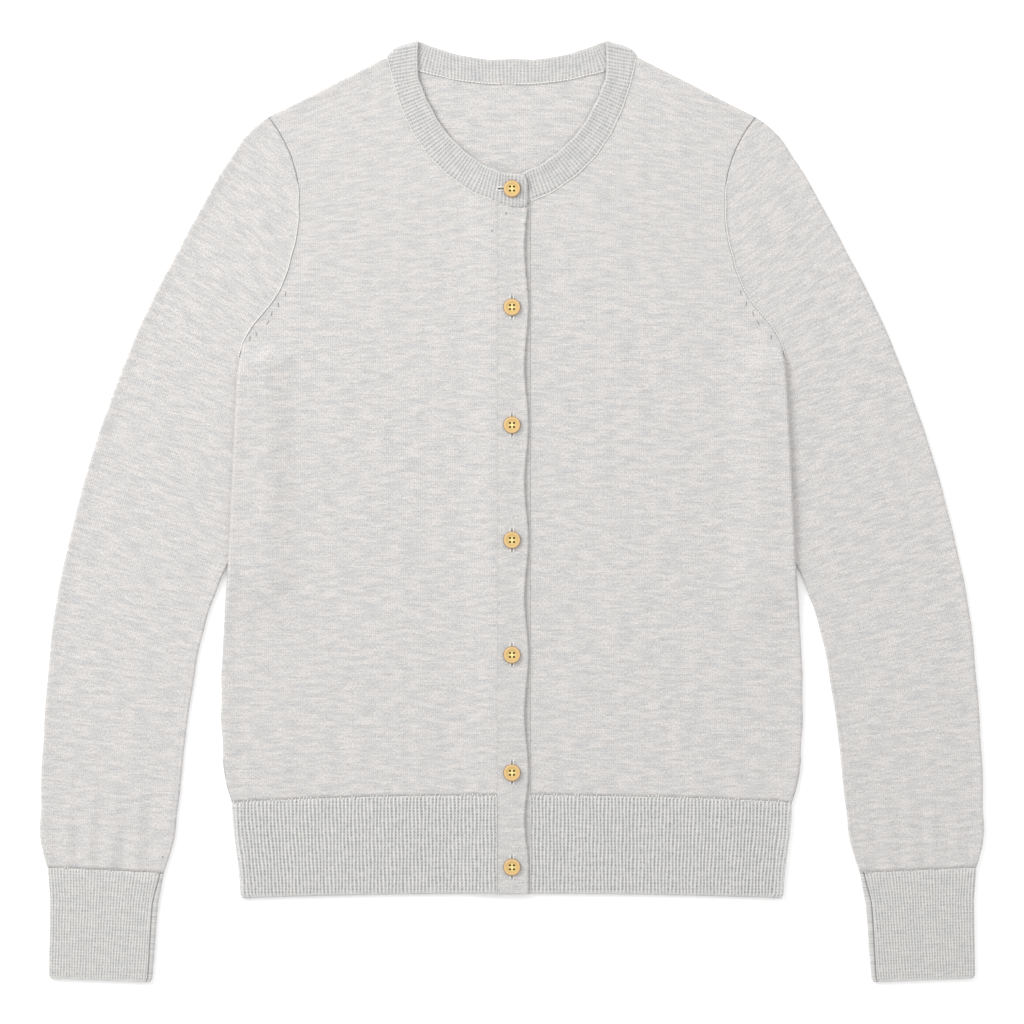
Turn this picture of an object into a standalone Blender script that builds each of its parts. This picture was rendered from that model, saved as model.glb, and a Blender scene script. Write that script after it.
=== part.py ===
"""Button cardigan in fine jersey, buttoned and laid flat.

The garment lies on the XY plane with its neck towards +Y and its front up. The origin is under
the middle of its outline, on the surface that it lies on. The wearer's right is at -X. Every
cloth piece is a closed wall: its public face and its inner face are two grids of points, joined
round their rims. Lengths in this file are millimetres until the meshes are made.
"""

import bmesh
import bpy
import numpy as np

MM = 0.001                # metres in a millimetre

# Cloth
JERSEY = 1.2              # wall of the plain knit
RIB = 1.5                 # wall of the ribbed knit under its ridges
RIB_RISE = 0.5            # height of a rib ridge over that wall
BAND = 1.4                # wall of the two button plackets
GAP = 0.3                 # air between pieces, at seams and between layers
ROLL = 1.7                # radius of the soft turn where a layer folds back
FULLNESS = 0.7            # how much the cloth stands up beside a fold
FULL_REACH = 8.0          # how far in from the fold that fullness dies away
INSET = (FULL_REACH, 20.0, 33.0, 46.0)  # columns of a panel beside its fold, in from the roll
PANEL_STEPS = 4           # even columns of a front inside those
BACK_STEPS = 6            # even columns of half the back inside those
SLEEVE_STEPS = 7          # even columns of a sleeve between its rolls

# Levels above the surface
FRONT_Z = JERSEY + GAP    # inner face of the fronts
RIB_Z = RIB + GAP         # inner face of the front hem, the front neckband and the under placket
LAP_Z = RIB_Z + BAND + GAP  # inner face of the upper placket
NECK_LAP_Z = RIB_Z + RIB + GAP  # inner face of the neckband's end where it laps
LAP_REACH = (13.0, 38.0)  # the right front climbs to that level between these distances from centre

# Body
SEAM_RIGHT = 10.8         # right front's edge at the upper placket, from the centre line
SEAM_LEFT = 12.9          # left front's edge at the under placket
JOIN_Y = -198.8           # seam between body and hem, at the centre line
JOIN_DROOP = 4.9          # how far that seam sinks at the side
HEM_Y = -267.6            # lower edge of the hem, at the centre line
HEM_DROOP = 3.3
HEM_HALF = 190.1          # half width of the hem at its lower edge
HEM_CORNER = 1.4          # how far the hem's corner is rounded back
HEM_END = 2.7             # depth of the cast-on edge below the ribs
NECK_POINT = (89.6, 316.6)  # high end of the shoulder fold, beside the neckband
FRONT_SHOULDER = (0.28, 0.54, 0.78, 0.95)  # where a front's last rows start along that fold
BACK_SHOULDER = (0.0, 0.15, 0.3, 0.5, 0.7)  # where the back's last row has its points along it

# Where the sleeves lie under the body's sides the body is lifted over them
LIFT = 3.9
LIFT_TOP = (104.5, 116.9)    # full below the first height, none above the second
LIFT_FOOT = (-90.0, -41.0)   # none below the first height, full above the second
LIFT_SIDE = (148.0, 174.0)   # none inside the first half width, full outside the second

# Ribs
HEM_RIBS = 72             # ridges across each front of the hem
CUFF_RIBS = 38            # ridges across one side of a cuff
NECK_PITCH = 2.45         # ridge to ridge along the neckband
PLAIN_STEP = 18           # half ribs of a hem's outer face that one cell of its inner face spans

# Buttons and buttonholes
BUTTON_Y = (225.8, 142.8, 60.2, -20.3, -100.8, -183.4, -249.5)
BUTTON_RADIUS = 6.0
BUTTON_HEIGHT = 2.4
BUTTON_SIDES = 16
HOLE_OFFSET = 1.42        # thread holes sit at the corners of a square twice this wide
HOLE_RADIUS = 0.7
HOLE_SIDES = 6
CREASE_ANGLE = 35.0       # edges of a button sharper than this many degrees stay sharp
SLIT_LENGTH = 14.5
SLIT_WIDTH = 0.5
SLIT_SHIFT = 0.5          # a slit sits this far above its button's middle
SLIT_DEPTH = 12.0
NECK_SLIT_X = (-9.6, 4.9)  # ends of the level slit in the neckband

# Upper placket
PLACKET_LEFT = -10.5
PLACKET_EDGE = 10.15      # mean place of its free edge
PLACKET_WAVE = 1.4        # the edge stands out at each button and sinks between two
PLACKET_FOOT = -268.1     # lower edge of both plackets
PLACKET_CORNER = (1.0, 1.4)  # how wide and how high its lower corners are cut back
WAVE_TOP = 195.0          # the free edge runs straight above this height
WAVE_ROWS = 27            # rows below that height, from the lowest button up
UNDER_EDGES = (-9.1, 12.6)  # the under placket's free edge and its seam
PLACKET_TOP = 300.0       # above both upper edges, which follow the neckband:
UPPER_TOP = ((-10.5, 0.0, 6.3, 11.0), (216.1, 212.6, 212.2, 212.4))
UNDER_TOP = ((-9.1, 0.0, 12.6), (212.2, 212.2, 216.4))

COLOURS = {               # sRGB
    "jersey": (0.855, 0.851, 0.839),
    "rib": (0.800, 0.796, 0.788),
    "placket": (0.851, 0.847, 0.839),
    "wood": (0.894, 0.776, 0.537),
}
ROUGHNESS = {"jersey": 0.95, "rib": 0.95, "placket": 0.93, "wood": 0.45}


def table(names, rows):
    """The columns of a table of rows, by name."""
    return dict(zip(names.split(), np.array(rows, float).T))


# Half width of the body at its side fold, from the hem seam up to the underarm.
BODY_SIDE = table("y half", [
    (-203.7, 196.0),
    (-188.0, 200.2),
    (-165.0, 202.2),
    (-130.0, 203.2),
    (-90.0, 202.0),
    (-41.0, 199.0),
    (-10.0, 197.5),
    (40.0, 195.2),
    (76.3, 193.3),
    (93.8, 192.3),
    (106.4, 190.8),
    (116.9, 188.3),
])

# Armhole seam, from the underarm up to the shoulder tip.
ARMHOLE = table("half y", [
    (188.3, 116.9),
    (184.1, 124.9),
    (173.6, 138.6),
    (165.6, 149.1),
    (158.9, 162.4),
    (154.0, 178.5),
    (150.2, 194.6),
    (149.1, 213.5),
    (150.2, 231.7),
    (152.6, 241.5),
    (158.2, 256.2),
    (170.2, 275.6),
])

# Sleeve sections from the armhole down to the cuff: where each one's outer and inner folds lie,
# and how much of the armhole's curve it still has.
SLEEVE = table("outer_x outer_y inner_x inner_y bulge", [
    (182.0, 266.7, 191.2, 111.0, 0.60),
    (195.3, 249.2, 192.3, 104.5, 0.36),
    (216.3, 214.2, 188.5, 96.0, 0.16),
    (235.2, 179.2, 182.0, 82.0, 0.06),
    (253.4, 144.2, 177.6, 62.0, 0.0),
    (268.8, 109.2, 176.4, 40.0, 0.0),
    (282.1, 74.2, 177.2, 15.0, 0.0),
    (294.0, 39.2, 184.5, -12.0, 0.0),
    (303.8, 4.2, 197.3, -35.0, 0.0),
    (312.2, -30.8, 207.0, -57.0, 0.0),
    (319.2, -65.8, 216.0, -85.0, 0.0),
    (324.2, -110.0, 222.9, -121.0, 0.0),
    (327.8, -158.0, 229.4, -167.0, 0.0),
    (329.4, -205.8, 234.2, -211.0, 0.0),
    (327.6, -240.8, 240.2, -243.5, 0.0),
    (325.0, -249.0, 243.5, -253.0, 0.0),
])

# Cuff sections from its seam to its lower edge.
CUFF = table("outer_x outer_y inner_x inner_y", [
    (325.0, -249.3, 243.5, -253.3),
    (323.2, -272.0, 247.6, -275.0),
    (324.0, -324.6, 251.6, -327.2),
    (322.8, -327.0, 253.0, -329.6),
])

# Neckband from centre front over the shoulder to centre back: its free edge round the neck, its
# seam edge, and the roll of the strip there, +90 face up in front and -90 face down behind.
NECKBAND = table("free_x free_y seam_x seam_y roll", [
    (0.0, 236.0, 0.0, 213.0, 90),
    (12.4, 239.2, 17.5, 218.7, 90),
    (26.2, 246.8, 37.5, 229.9, 90),
    (37.4, 256.2, 51.6, 241.6, 90),
    (47.6, 267.4, 63.6, 256.4, 90),
    (56.0, 281.4, 73.2, 273.3, 90),
    (62.7, 296.1, 79.8, 289.8, 90),
    (65.8, 308.7, 84.2, 305.4, 90),
    (65.3, 328.15, 86.7, 316.4, 90),
    (65.3, 328.15, 86.7, 316.4, 0),
    (65.3, 328.15, 86.7, 316.4, -90),
    (63.0, 327.7, 78.5, 311.9, -90),
    (58.5, 326.0, 66.2, 308.4, -90),
    (49.5, 322.9, 52.0, 304.9, -90),
    (30.0, 317.9, 30.0, 300.6, -90),
    (0.0, 316.4, 0.0, 298.6, -90),
])
RIGHT_END = table("free_x free_y seam_x seam_y", [
    (-10.9, 229.5, -10.6, 213.4),
    (-9.4, 233.6, -9.4, 212.8),
    (-6.3, 235.3, -6.3, 212.6),
])
LEFT_END = table("free_x free_y seam_x seam_y", [
    (-9.1, 237.0, -9.1, 213.6),
])
FRONT_NODES = 8           # seam nodes of the neckband that the front panels follow

# Turned profile of a button: radius and height, from the middle of its back round to its dish.
BUTTON_PROFILE = table("radius height", [
    (0.0, 1.45),
    (3.0, 1.5),
    (3.9, 2.1),
    (4.8, 2.4),
    (5.6, 2.1),
    (6.0, 1.3),
    (5.3, 0.0),
    (0.0, 0.0),
])


def smoothstep(low, high, value):
    """0 at low, 1 at high, eased between them."""
    t = np.clip((np.asarray(value, float) - low) / (high - low), 0.0, 1.0)
    return t * t * (3.0 - 2.0 * t)


def spline(knots, values, at):
    """Smooth curve through values at knots, read at other places; slopes by three points."""
    knots, values = np.asarray(knots, float), np.asarray(values, float)
    step = np.diff(knots)
    rise = np.diff(values) / step
    slope = np.concatenate([rise[:1], rise[1:], rise[-1:]])
    slope[1:-1] = (rise[:-1] * step[1:] + rise[1:] * step[:-1]) / (step[1:] + step[:-1])
    k = np.clip(np.searchsorted(knots, at) - 1, 0, len(step) - 1)
    t = (at - knots[k]) / step[k]
    start = values[k] + t * step[k] * slope[k]
    end = values[k + 1] - (1 - t) * step[k] * slope[k + 1]
    blend = t * t * (3 - 2 * t)
    return start * (1 - blend) + end * blend


def along(line, distance):
    """Points at these distances along a line of straight runs."""
    length = np.append(0.0, np.cumsum(np.linalg.norm(np.diff(line, axis=0), axis=1)))
    return np.column_stack([np.interp(distance, length, line[:, k]) for k in (0, 1)])


def line_length(line):
    """Length of a line of straight runs."""
    return np.linalg.norm(np.diff(line, axis=0), axis=1).sum()


def left_normals(line):
    """Unit normals to the left of a line of points, at each point."""
    run = np.gradient(line, axis=0)
    normal = np.column_stack([-run[:, 1], run[:, 0]])
    return normal / np.linalg.norm(normal, axis=1, keepdims=True)


def depth_from(fold, points):
    """Distance of each point from a fold line, and the unit direction into the cloth there."""
    start, run = fold[:-1], np.diff(fold, axis=0)
    share = ((points[..., None, :] - start) * run).sum(-1) / (run ** 2).sum(-1)
    nearest = start + np.clip(share, 0, 1)[..., None] * run
    distance = np.linalg.norm(points[..., None, :] - nearest, axis=-1)
    run_of = run[distance.argmin(-1)]
    inward = np.stack([-run_of[..., 1], run_of[..., 0]], axis=-1)
    return distance.min(-1), inward / np.linalg.norm(inward, axis=-1, keepdims=True)


# The plan of the body's edges, for the half at +X

def armhole_stations(length):
    """Distances across a sleeve section: the folds, the tops of their rolls, and even steps."""
    edge = [0.0, ROLL, ROLL + FULL_REACH]
    middle = np.linspace(edge[-1], length - edge[-1], SLEEVE_STEPS + 1)
    return np.concatenate([edge[:-1], middle, length - np.array(edge[1::-1])])


def armhole_line():
    """The armhole seam, its nodes at the stations that body rows and sleeve columns share."""
    arm = np.column_stack([ARMHOLE["half"], ARMHOLE["y"]])
    knots = np.append(0.0, np.cumsum(np.linalg.norm(np.diff(arm, axis=0), axis=1)))
    fine = np.linspace(0, knots[-1], 200)
    curve = np.column_stack([spline(knots, arm[:, 0], fine), spline(knots, arm[:, 1], fine)])
    return along(curve, armhole_stations(line_length(curve)))


ARM = armhole_line()
SIDE_Y = np.array([JOIN_Y - JOIN_DROOP, -188, -165, -130, -90, -65, -41, -10, 15, 40, 65, 90,
                   LIFT_TOP[0], sum(LIFT_TOP) / 2, LIFT_TOP[1]])
SIDE = np.column_stack([spline(BODY_SIDE["y"], BODY_SIDE["half"], SIDE_Y), SIDE_Y])
SHOULDER = np.array([ARM[-1], NECK_POINT])
SEAM_LINE = np.column_stack([NECKBAND["seam_x"], NECKBAND["seam_y"]])
FRONT_NECK = SEAM_LINE[:FRONT_NODES + 1] - GAP * left_normals(SEAM_LINE[:FRONT_NODES + 1])
BACK_NECK = SEAM_LINE[FRONT_NODES + 2:]
BACK_NECK = BACK_NECK + GAP * left_normals(BACK_NECK)


def body_lift(points):
    """How far the body is raised where a sleeve lies under its side."""
    half, y = np.abs(points[..., 0]), points[..., 1]
    height = (1 - smoothstep(*LIFT_TOP, y)) * smoothstep(*LIFT_FOOT, y)
    return LIFT * height * smoothstep(*LIFT_SIDE, half)


def lap_rise(half):
    """How far the right front is raised beside the upper placket."""
    return (LAP_Z - FRONT_Z) * (1 - smoothstep(*LAP_REACH, half))


def join_droop(points):
    """How far the hem seam sinks towards the side, dying out above it."""
    fade = 1 - smoothstep(JOIN_Y - JOIN_DROOP, JOIN_Y + 40.0, points[..., 1])
    return JOIN_DROOP * fade * (points[..., 0] / BODY_SIDE["half"][0]) ** 2


# Walls

def stitch(mesh, first, first_at, second, second_at):
    """Triangles between two rows of vertices that run the same way."""
    i = j = 0
    while i < len(first) - 1 or j < len(second) - 1:
        ended = j == len(second) - 1
        if ended or (i < len(first) - 1 and first_at[i + 1] <= second_at[j + 1]):
            mesh.faces.new((first[i], first[i + 1], second[j]))
            i += 1
        else:
            mesh.faces.new((first[i], second[j + 1], second[j]))
            j += 1


def grid_faces(mesh, vertices, closed):
    """Triangle pairs over a grid of vertices, joined end to end along its rows if closed.

    Each cell is split along the diagonal that leans away from the centre line, so that layers
    which lie on each other are split the same way.
    """
    across = len(vertices[0]) if closed else len(vertices[0]) - 1
    for low, high in zip(vertices[:-1], vertices[1:]):
        for j in range(across):
            k = (j + 1) % len(low)
            if abs(high[k].co.x) > abs(low[j].co.x):
                mesh.faces.new((low[j], low[k], high[k]))
                mesh.faces.new((low[j], high[k], high[j]))
            else:
                mesh.faces.new((low[j], low[k], high[j]))
                mesh.faces.new((low[k], high[k], high[j]))


def cloth_wall(name, material, outer, inner, outer_at=None, inner_at=None, turn=None):
    """One piece of cloth from the grids of its two faces, stitched together round their rims.

    The grids have the same number of rows. Their columns may differ, so that one face can be
    ribbed over a plain other face, and outer_at and inner_at then say where along the piece each
    column lies. A tube gives the turn, the place where its first column comes round again.
    """
    outer_at = list(range(outer.shape[1])) if outer_at is None else list(outer_at)
    inner_at = list(range(inner.shape[1])) if inner_at is None else list(inner_at)
    mesh = bmesh.new()
    out = [[mesh.verts.new(point * MM) for point in row] for row in outer]
    within = [[mesh.verts.new(point * MM) for point in row] for row in inner]
    grid_faces(mesh, out, turn is not None)
    grid_faces(mesh, within, turn is not None)
    if turn is None:
        for k in (0, -1):
            stitch(mesh, out[k], outer_at, within[k], inner_at)
            stitch(mesh, [row[k] for row in out], list(range(len(out))),
                   [row[k] for row in within], list(range(len(out))))
    else:
        for k in (0, -1):
            stitch(mesh, out[k] + out[k][:1], outer_at + [turn],
                   within[k] + within[k][:1], inner_at + [turn])
    bmesh.ops.recalc_face_normals(mesh, faces=mesh.faces)
    return mesh_object(name, material, mesh)


def mesh_object(name, material, mesh):
    """A named object in the cardigan's collection, with a material of its own."""
    data = bpy.data.meshes.new(name)
    mesh.to_mesh(data)
    mesh.free()
    return place_object(name, material, data)


def place_object(name, material, data):
    """An object of this mesh in the cardigan's collection, with a material of its own."""
    item = bpy.data.objects.new(name, data)
    collections["cardigan"].objects.link(item)
    data.materials.append(cloth_material(name, material))
    return item


def cloth_material(name, kind):
    """Principled material of one piece, from its kind's colour and roughness."""
    material = bpy.data.materials.new(name)
    material.use_nodes = True
    shader = material.node_tree.nodes["Principled BSDF"]
    srgb = np.array(COLOURS[kind])
    linear = np.where(srgb > 0.04045, ((srgb + 0.055) / 1.055) ** 2.4, srgb / 12.92)
    shader.inputs["Base Color"].default_value = (*linear, 1.0)
    shader.inputs["Roughness"].default_value = ROUGHNESS[kind]
    shader.inputs["Metallic"].default_value = 0.0
    return material


def with_height(points, height):
    """Plan points given a height each."""
    return np.dstack([points, np.broadcast_to(height, points.shape[:2])])


def mirrored(grid, side):
    """A grid for the half at +X, turned over to the other half when side is -1."""
    return grid * np.array([side, 1.0, 1.0])


# Body panels

def row_across(edge, inward, end):
    """Plan points of one row: its edge, the panel's fixed steps in from there, then even ones.

    The fixed steps close up where they would take more than six tenths of a short row.
    """
    shoulder = edge + inward * ROLL
    room = np.linalg.norm(end - shoulder)
    steps = np.array(INSET) * min(1.0, 0.6 * room / INSET[-1])
    distance = np.concatenate([[0.0], steps, np.linspace(steps[-1], room, PANEL_STEPS + 1)[1:]])
    return np.vstack([edge, shoulder + (end - shoulder) * (distance / room)[:, None]])


def front_plan(seam):
    """Plan grid of a front from its outer edge in to the placket and neck, and its edge kinds."""
    shoulder = ARM[-1] + np.outer(FRONT_SHOULDER, np.diff(SHOULDER, axis=0)[0])
    edge = np.vstack([SIDE, ARM[1:], shoulder])
    corner_y = np.interp(seam, *FRONT_NECK[:2].T)
    straight = len(edge) - len(FRONT_NECK)
    end = np.vstack([
        np.column_stack([np.full(straight, seam), edge[:straight, 1]]),
        [(seam, corner_y)],
        FRONT_NECK[1:],
    ])
    end[0, 1] = edge[0, 1]
    folded = np.ones(len(edge), bool)
    folded[len(SIDE):len(SIDE) + len(ARM) - 2] = False
    _, fold_in = depth_from(np.vstack([SIDE, SHOULDER]), edge)
    level = (end - edge) / np.linalg.norm(end - edge, axis=1, keepdims=True)
    inward = np.where(folded[:, None], fold_in, level)
    plan = np.array([row_across(*places) for places in zip(edge, inward, end)])
    return level_hem(plan), folded


def level_hem(plan):
    """The plan with its lowest row laid along the drooping hem seam."""
    plan = plan.copy()
    plan[0, :, 1] += JOIN_DROOP
    plan[..., 1] -= join_droop(plan) * (np.arange(len(plan)) == 0)[:, None]
    return plan


def fold_profile(plan, folded, base, wall, fullness):
    """Outer height, inner height and inner plan of a layer that turns down at its folds."""
    side_depth, side_in = depth_from(SIDE, plan)
    top_depth, top_in = depth_from(SHOULDER, plan)
    depth = np.minimum(side_depth, top_depth)
    inward = np.where((side_depth < top_depth)[..., None], side_in, top_in)
    full = fullness * (1 - smoothstep(ROLL, ROLL + FULL_REACH, depth))
    at_fold = np.zeros(plan.shape[:2], bool)
    at_fold[:, 0] = folded
    outer = np.where(at_fold, base + GAP, base + wall + full)
    inner = np.where(at_fold, base, base + full)
    return outer, inner, plan + np.where(at_fold[..., None], inward * wall, 0.0)


def make_front(side, seam):
    """A front panel: plain jersey from the side fold and armhole in to its placket and the neck."""
    plan, folded = front_plan(seam)
    outer, inner, inner_plan = fold_profile(plan, folded, FRONT_Z, JERSEY, FULLNESS)
    rise = body_lift(plan) + (lap_rise(plan[..., 0]) if side < 0 else 0.0)
    name = "front_right" if side < 0 else "front_left"
    cloth_wall(name, "jersey", mirrored(with_height(plan, outer + rise), side),
               mirrored(with_height(inner_plan, inner + rise), side))


def back_plan():
    """Plan grid of the back, whole width, from the hem seam to the shoulders and neck."""
    edge = np.vstack([SIDE, ARM[1:-1]])
    steps = np.array([0.0, *(ROLL + np.array(INSET))])
    shares = np.linspace(1.0, 0.0, BACK_STEPS + 1)[1:]
    rows = []
    for half, y in edge:
        width = np.concatenate([half - steps, (half - steps[-1]) * shares])
        rows.append(np.column_stack([width, np.full(len(width), y)]))
    shoulder = ARM[-1] + np.outer(BACK_SHOULDER, np.diff(SHOULDER, axis=0)[0])
    rows.append(np.vstack([shoulder, BACK_NECK]))
    half = level_hem(np.array(rows))
    return np.concatenate([half * np.array([-1.0, 1.0]), half[:, -2::-1]], axis=1)


def make_back():
    """The back panel: plain jersey that lies on the surface."""
    plan = back_plan()
    lift = body_lift(plan)
    cloth_wall("back", "jersey", with_height(plan, lift), with_height(plan, lift + JERSEY))
    return plan


# Sleeves and cuffs

def tube_section(inner_end, outer_end, stations, bend):
    """Plan points across a flattened tube, from its inner fold to its outer fold."""
    share = (stations / stations[-1])[:, None]
    return inner_end + (outer_end - inner_end) * share + bend


def tube_heights(count, wall, fullness, rise):
    """Outer and inner heights round a flattened tube: front layer, then back layer returning."""
    middle = wall + GAP / 2
    top = np.full(count, 2 * wall + GAP) + rise
    top[[1, -2]] += fullness
    outer = np.concatenate([[middle], top[1:-1], [middle], np.zeros(count - 2)])
    inner = np.concatenate([[middle], top[1:-1] - rise[1:-1] - wall, [middle],
                            np.full(count - 2, wall)])
    return outer, inner


def make_sleeve(side):
    """A sleeve: a jersey tube pressed flat, its inner fold tucked under the body's side."""
    seam = ARM - GAP * left_normals(ARM)
    length = line_length(ARM)
    stations = armhole_stations(length)
    bend = seam - tube_section(seam[0], seam[-1], stations, 0.0)
    sections = [seam]
    for ox, oy, ix, iy, bulge in zip(*SLEEVE.values()):
        inner_end, outer_end = np.array([ix, iy]), np.array([ox, oy])
        across = armhole_stations(np.linalg.norm(outer_end - inner_end))
        sections.append(tube_section(inner_end, outer_end, across, bend * bulge))
    rise = np.zeros((len(sections), len(stations)))
    flat_tube("sleeve", "jersey", side, np.array(sections), JERSEY, FULLNESS, rise)


def flat_tube(name, material, side, front, wall, fullness, rise, keep=None):
    """A closed ring of cloth pressed flat, from the plan of its front layer, section by section."""
    count = front.shape[1]
    plan = np.concatenate([front, front[:, -2:0:-1]], axis=1)
    heights = [tube_heights(count, wall, fullness, line) for line in rise]
    outer = np.array([height[0] for height in heights])
    inner = np.array([height[1] for height in heights])
    inner_plan = plan.copy()
    across = front[:, -1] - front[:, 0]
    across /= np.linalg.norm(across, axis=1, keepdims=True)
    inner_plan[:, 0] += across * wall
    inner_plan[:, count - 1] -= across * wall
    outer, inner = with_height(plan, outer), with_height(inner_plan, inner)
    outer_at = np.arange(plan.shape[1])
    inner_at = outer_at if keep is None else np.array(keep)
    if keep is not None:
        plain = np.concatenate([[0, 1, count - 2], inner_at[inner_at >= count - 1]])
        outer_at = np.unique(np.concatenate([np.arange(count), plain]))
    cloth_wall(name + ("_right" if side < 0 else "_left"), material,
               mirrored(outer[:, outer_at], side), mirrored(inner[:, inner_at], side),
               outer_at, inner_at, turn=plan.shape[1])


def make_cuff(side):
    """A cuff: a ribbed tube pressed flat, ridged on the face that is up, plain where it rests."""
    share = np.linspace(0.0, 1.0, 2 * CUFF_RIBS + 1)
    ridge = RIB_RISE * (np.arange(len(share)) % 2)
    sections, rises = [], []
    for ox, oy, ix, iy in zip(*CUFF.values()):
        inner_end, outer_end = np.array([ix, iy]), np.array([ox, oy])
        width = np.linalg.norm(outer_end - inner_end)
        stations = np.concatenate([[0.0], ROLL + (width - 2 * ROLL) * share, [width]])
        sections.append(tube_section(inner_end, outer_end, stations, 0.0))
        rises.append(np.concatenate([[0.0], ridge, [0.0]]))
    rises[-1] = rises[-1] * 0.5
    count = len(sections[0])
    top = [0, 1, count // 3, 2 * count // 3, count - 2, count - 1]
    under = [count, count + count // 3, count + 2 * count // 3, 2 * count - 3]
    flat_tube("cuff", "rib", side, np.array(sections), RIB, 0.0, np.array(rises), top + under)


# Hem

def hem_rows(top):
    """Plan rows of a hem piece below its seam: the seam, the end of the ribs, the lower edge."""
    seam = top - np.array([0.0, GAP])
    narrow = (top[:, 0] / BODY_SIDE["half"][0])[:, None]
    foot_y = HEM_Y - HEM_DROOP * narrow[:, 0] ** 2
    shrink = (BODY_SIDE["half"][0] - HEM_HALF) * narrow[:, 0] ** 3
    foot = np.column_stack([top[:, 0] - shrink, foot_y])
    ribs_end = foot + np.array([0.0, HEM_END])
    corner = HEM_CORNER * narrow[:, 0] ** 15
    foot = foot - np.column_stack([corner, np.zeros(len(foot))])
    return np.array([seam, ribs_end, foot])


def make_front_hem(side, seam):
    """A front's hem: upright ribs from the body seam to the cast-on edge, folded at the side."""
    plan, _ = front_plan(seam)
    top = plan[0]
    half = np.concatenate([np.linspace(seam, top[1, 0], 2 * HEM_RIBS + 1), top[:1, 0]])
    line = np.column_stack([half, np.interp(half, top[::-1, 0], top[::-1, 1])])
    rows = hem_rows(line)
    ridge = np.append(RIB_RISE * (np.arange(2 * HEM_RIBS + 1) % 2), 0.0)
    relief = np.outer([1.0, 1.0, 0.5], ridge)
    rise = (lap_rise(half) if side < 0 else 0.0 * half) * (LAP_Z - RIB_Z) / (LAP_Z - FRONT_Z)
    outer = RIB_Z + RIB + relief + rise
    inner = RIB_Z + np.zeros_like(relief) + rise
    outer[:, -1] = RIB_Z + GAP
    inner_plan = rows.copy()
    inner_plan[:, -1, 0] -= RIB
    columns = list(range(0, 2 * HEM_RIBS, PLAIN_STEP)) + [2 * HEM_RIBS, 2 * HEM_RIBS + 1]
    name = "hem_front_right" if side < 0 else "hem_front_left"
    cloth_wall(name, "rib", mirrored(with_height(rows, outer), side),
               mirrored(with_height(inner_plan, inner)[:, columns], side), inner_at=columns)


def make_back_hem(back):
    """The back's hem: the same rib, plain here because it rests on this face."""
    right = np.abs(back[0]) * np.array([1.0, -1.0])
    rows = hem_rows(right)
    rows[..., 0] *= np.where(back[0, :, 0] < 0, -1.0, 1.0)
    cloth_wall("hem_back", "rib", with_height(rows, 0.0), with_height(rows, RIB))


# Neckband

def strip_nodes():
    """Nodes along the neckband from its right end to its left: free edge, seam edge and roll."""
    half = np.column_stack(list(NECKBAND.values()))
    right_end = np.column_stack([*RIGHT_END.values(), np.full(len(RIGHT_END["free_x"]), 90.0)])
    left_end = np.column_stack([*LEFT_END.values(), np.full(len(LEFT_END["free_x"]), 90.0)])
    right = np.vstack([right_end, half]) * np.array([-1, 1, -1, 1, 1])
    left = np.vstack([left_end, half])[::-1]
    nodes = np.vstack([right, left[1:]])
    return nodes[:, :2], nodes[:, 2:4], nodes[:, 4], len(right)


def strip_faces(free, seam, roll, lift):
    """The strip's outer and inner face at each node: rows for its free edge and its seam edge.

    Each face lies on an arc about the middle of the fold: the outer one at the full radius, the
    inner one at half a gap. A roll of +90 puts it on top and -90 underneath.
    """
    across = (seam - free) / np.linalg.norm(seam - free, axis=1, keepdims=True)
    away = np.column_stack([across[:, 1], -across[:, 0]]) * -np.sign(across[:, :1])
    faces = []
    for radius in (RIB + GAP / 2, GAP / 2):
        height = RIB + GAP / 2 + radius * np.sin(np.radians(roll)) + lift
        push = away * (radius * np.cos(np.radians(roll)))[:, None]
        faces.append(np.array([np.column_stack([edge + push, height]) for edge in (free, seam)]))
    return faces


def ribbed_rows(rows, place, at, ribbed):
    """Rows of points read at places along a strip, raised into ridges where it is ribbed."""
    grid = np.stack([[np.interp(at, place, row[:, k]) for k in range(3)] for row in rows])
    grid = grid.transpose(0, 2, 1)
    grid[..., 2] += RIB_RISE * (np.cumsum(ribbed) % 2 == 0) * ribbed
    return grid


def make_neckband():
    """The neckband: one ribbed strip round the neck, folded over at the two shoulder points.

    Its ridges stand on the side that is up: the outer face in front and the inner face behind.
    """
    free, seam, roll, right_count = strip_nodes()
    half = np.where(np.arange(len(seam)) < right_count, -seam[:, 0], np.inf)
    lift = (RIB + GAP) * (1 - smoothstep(*LAP_REACH, half)) * (roll > 0)
    outer, inner = strip_faces(free, seam, roll, lift)
    middle = (free + seam) / 2
    turn = RIB * np.radians(np.abs(np.diff(roll)))
    place = np.append(0.0, np.cumsum(np.linalg.norm(np.diff(middle, axis=0), axis=1) + turn))
    front = place[roll > 0]
    fold_right = front[front < place[-1] / 2][-1]
    fold_left = front[front > place[-1] / 2][0]
    lapped = place[-1] - UNDER_EDGES[1] + UNDER_EDGES[0]
    behind = place[roll < 0]
    ridges = np.concatenate([np.arange(NECK_PITCH / 2, fold_right, NECK_PITCH / 2),
                             np.arange(fold_left, lapped, NECK_PITCH / 2)[1:]])
    valleys = np.arange(behind[2], behind[-3], NECK_PITCH / 2)
    nodes_out = np.concatenate([place[[0]], place[(place >= fold_right) & (place <= fold_left)],
                                place[place > lapped]])
    outer_at, outer_ribbed = merge_places(ridges, nodes_out)
    inner_at, inner_ribbed = merge_places(valleys, place[(place < valleys[0]) |
                                                         (place > valleys[-1])])
    return cloth_wall("neckband", "rib", ribbed_rows(outer, place, outer_at, outer_ribbed),
                      ribbed_rows(inner, place, inner_at, inner_ribbed), outer_at, inner_at)


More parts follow.
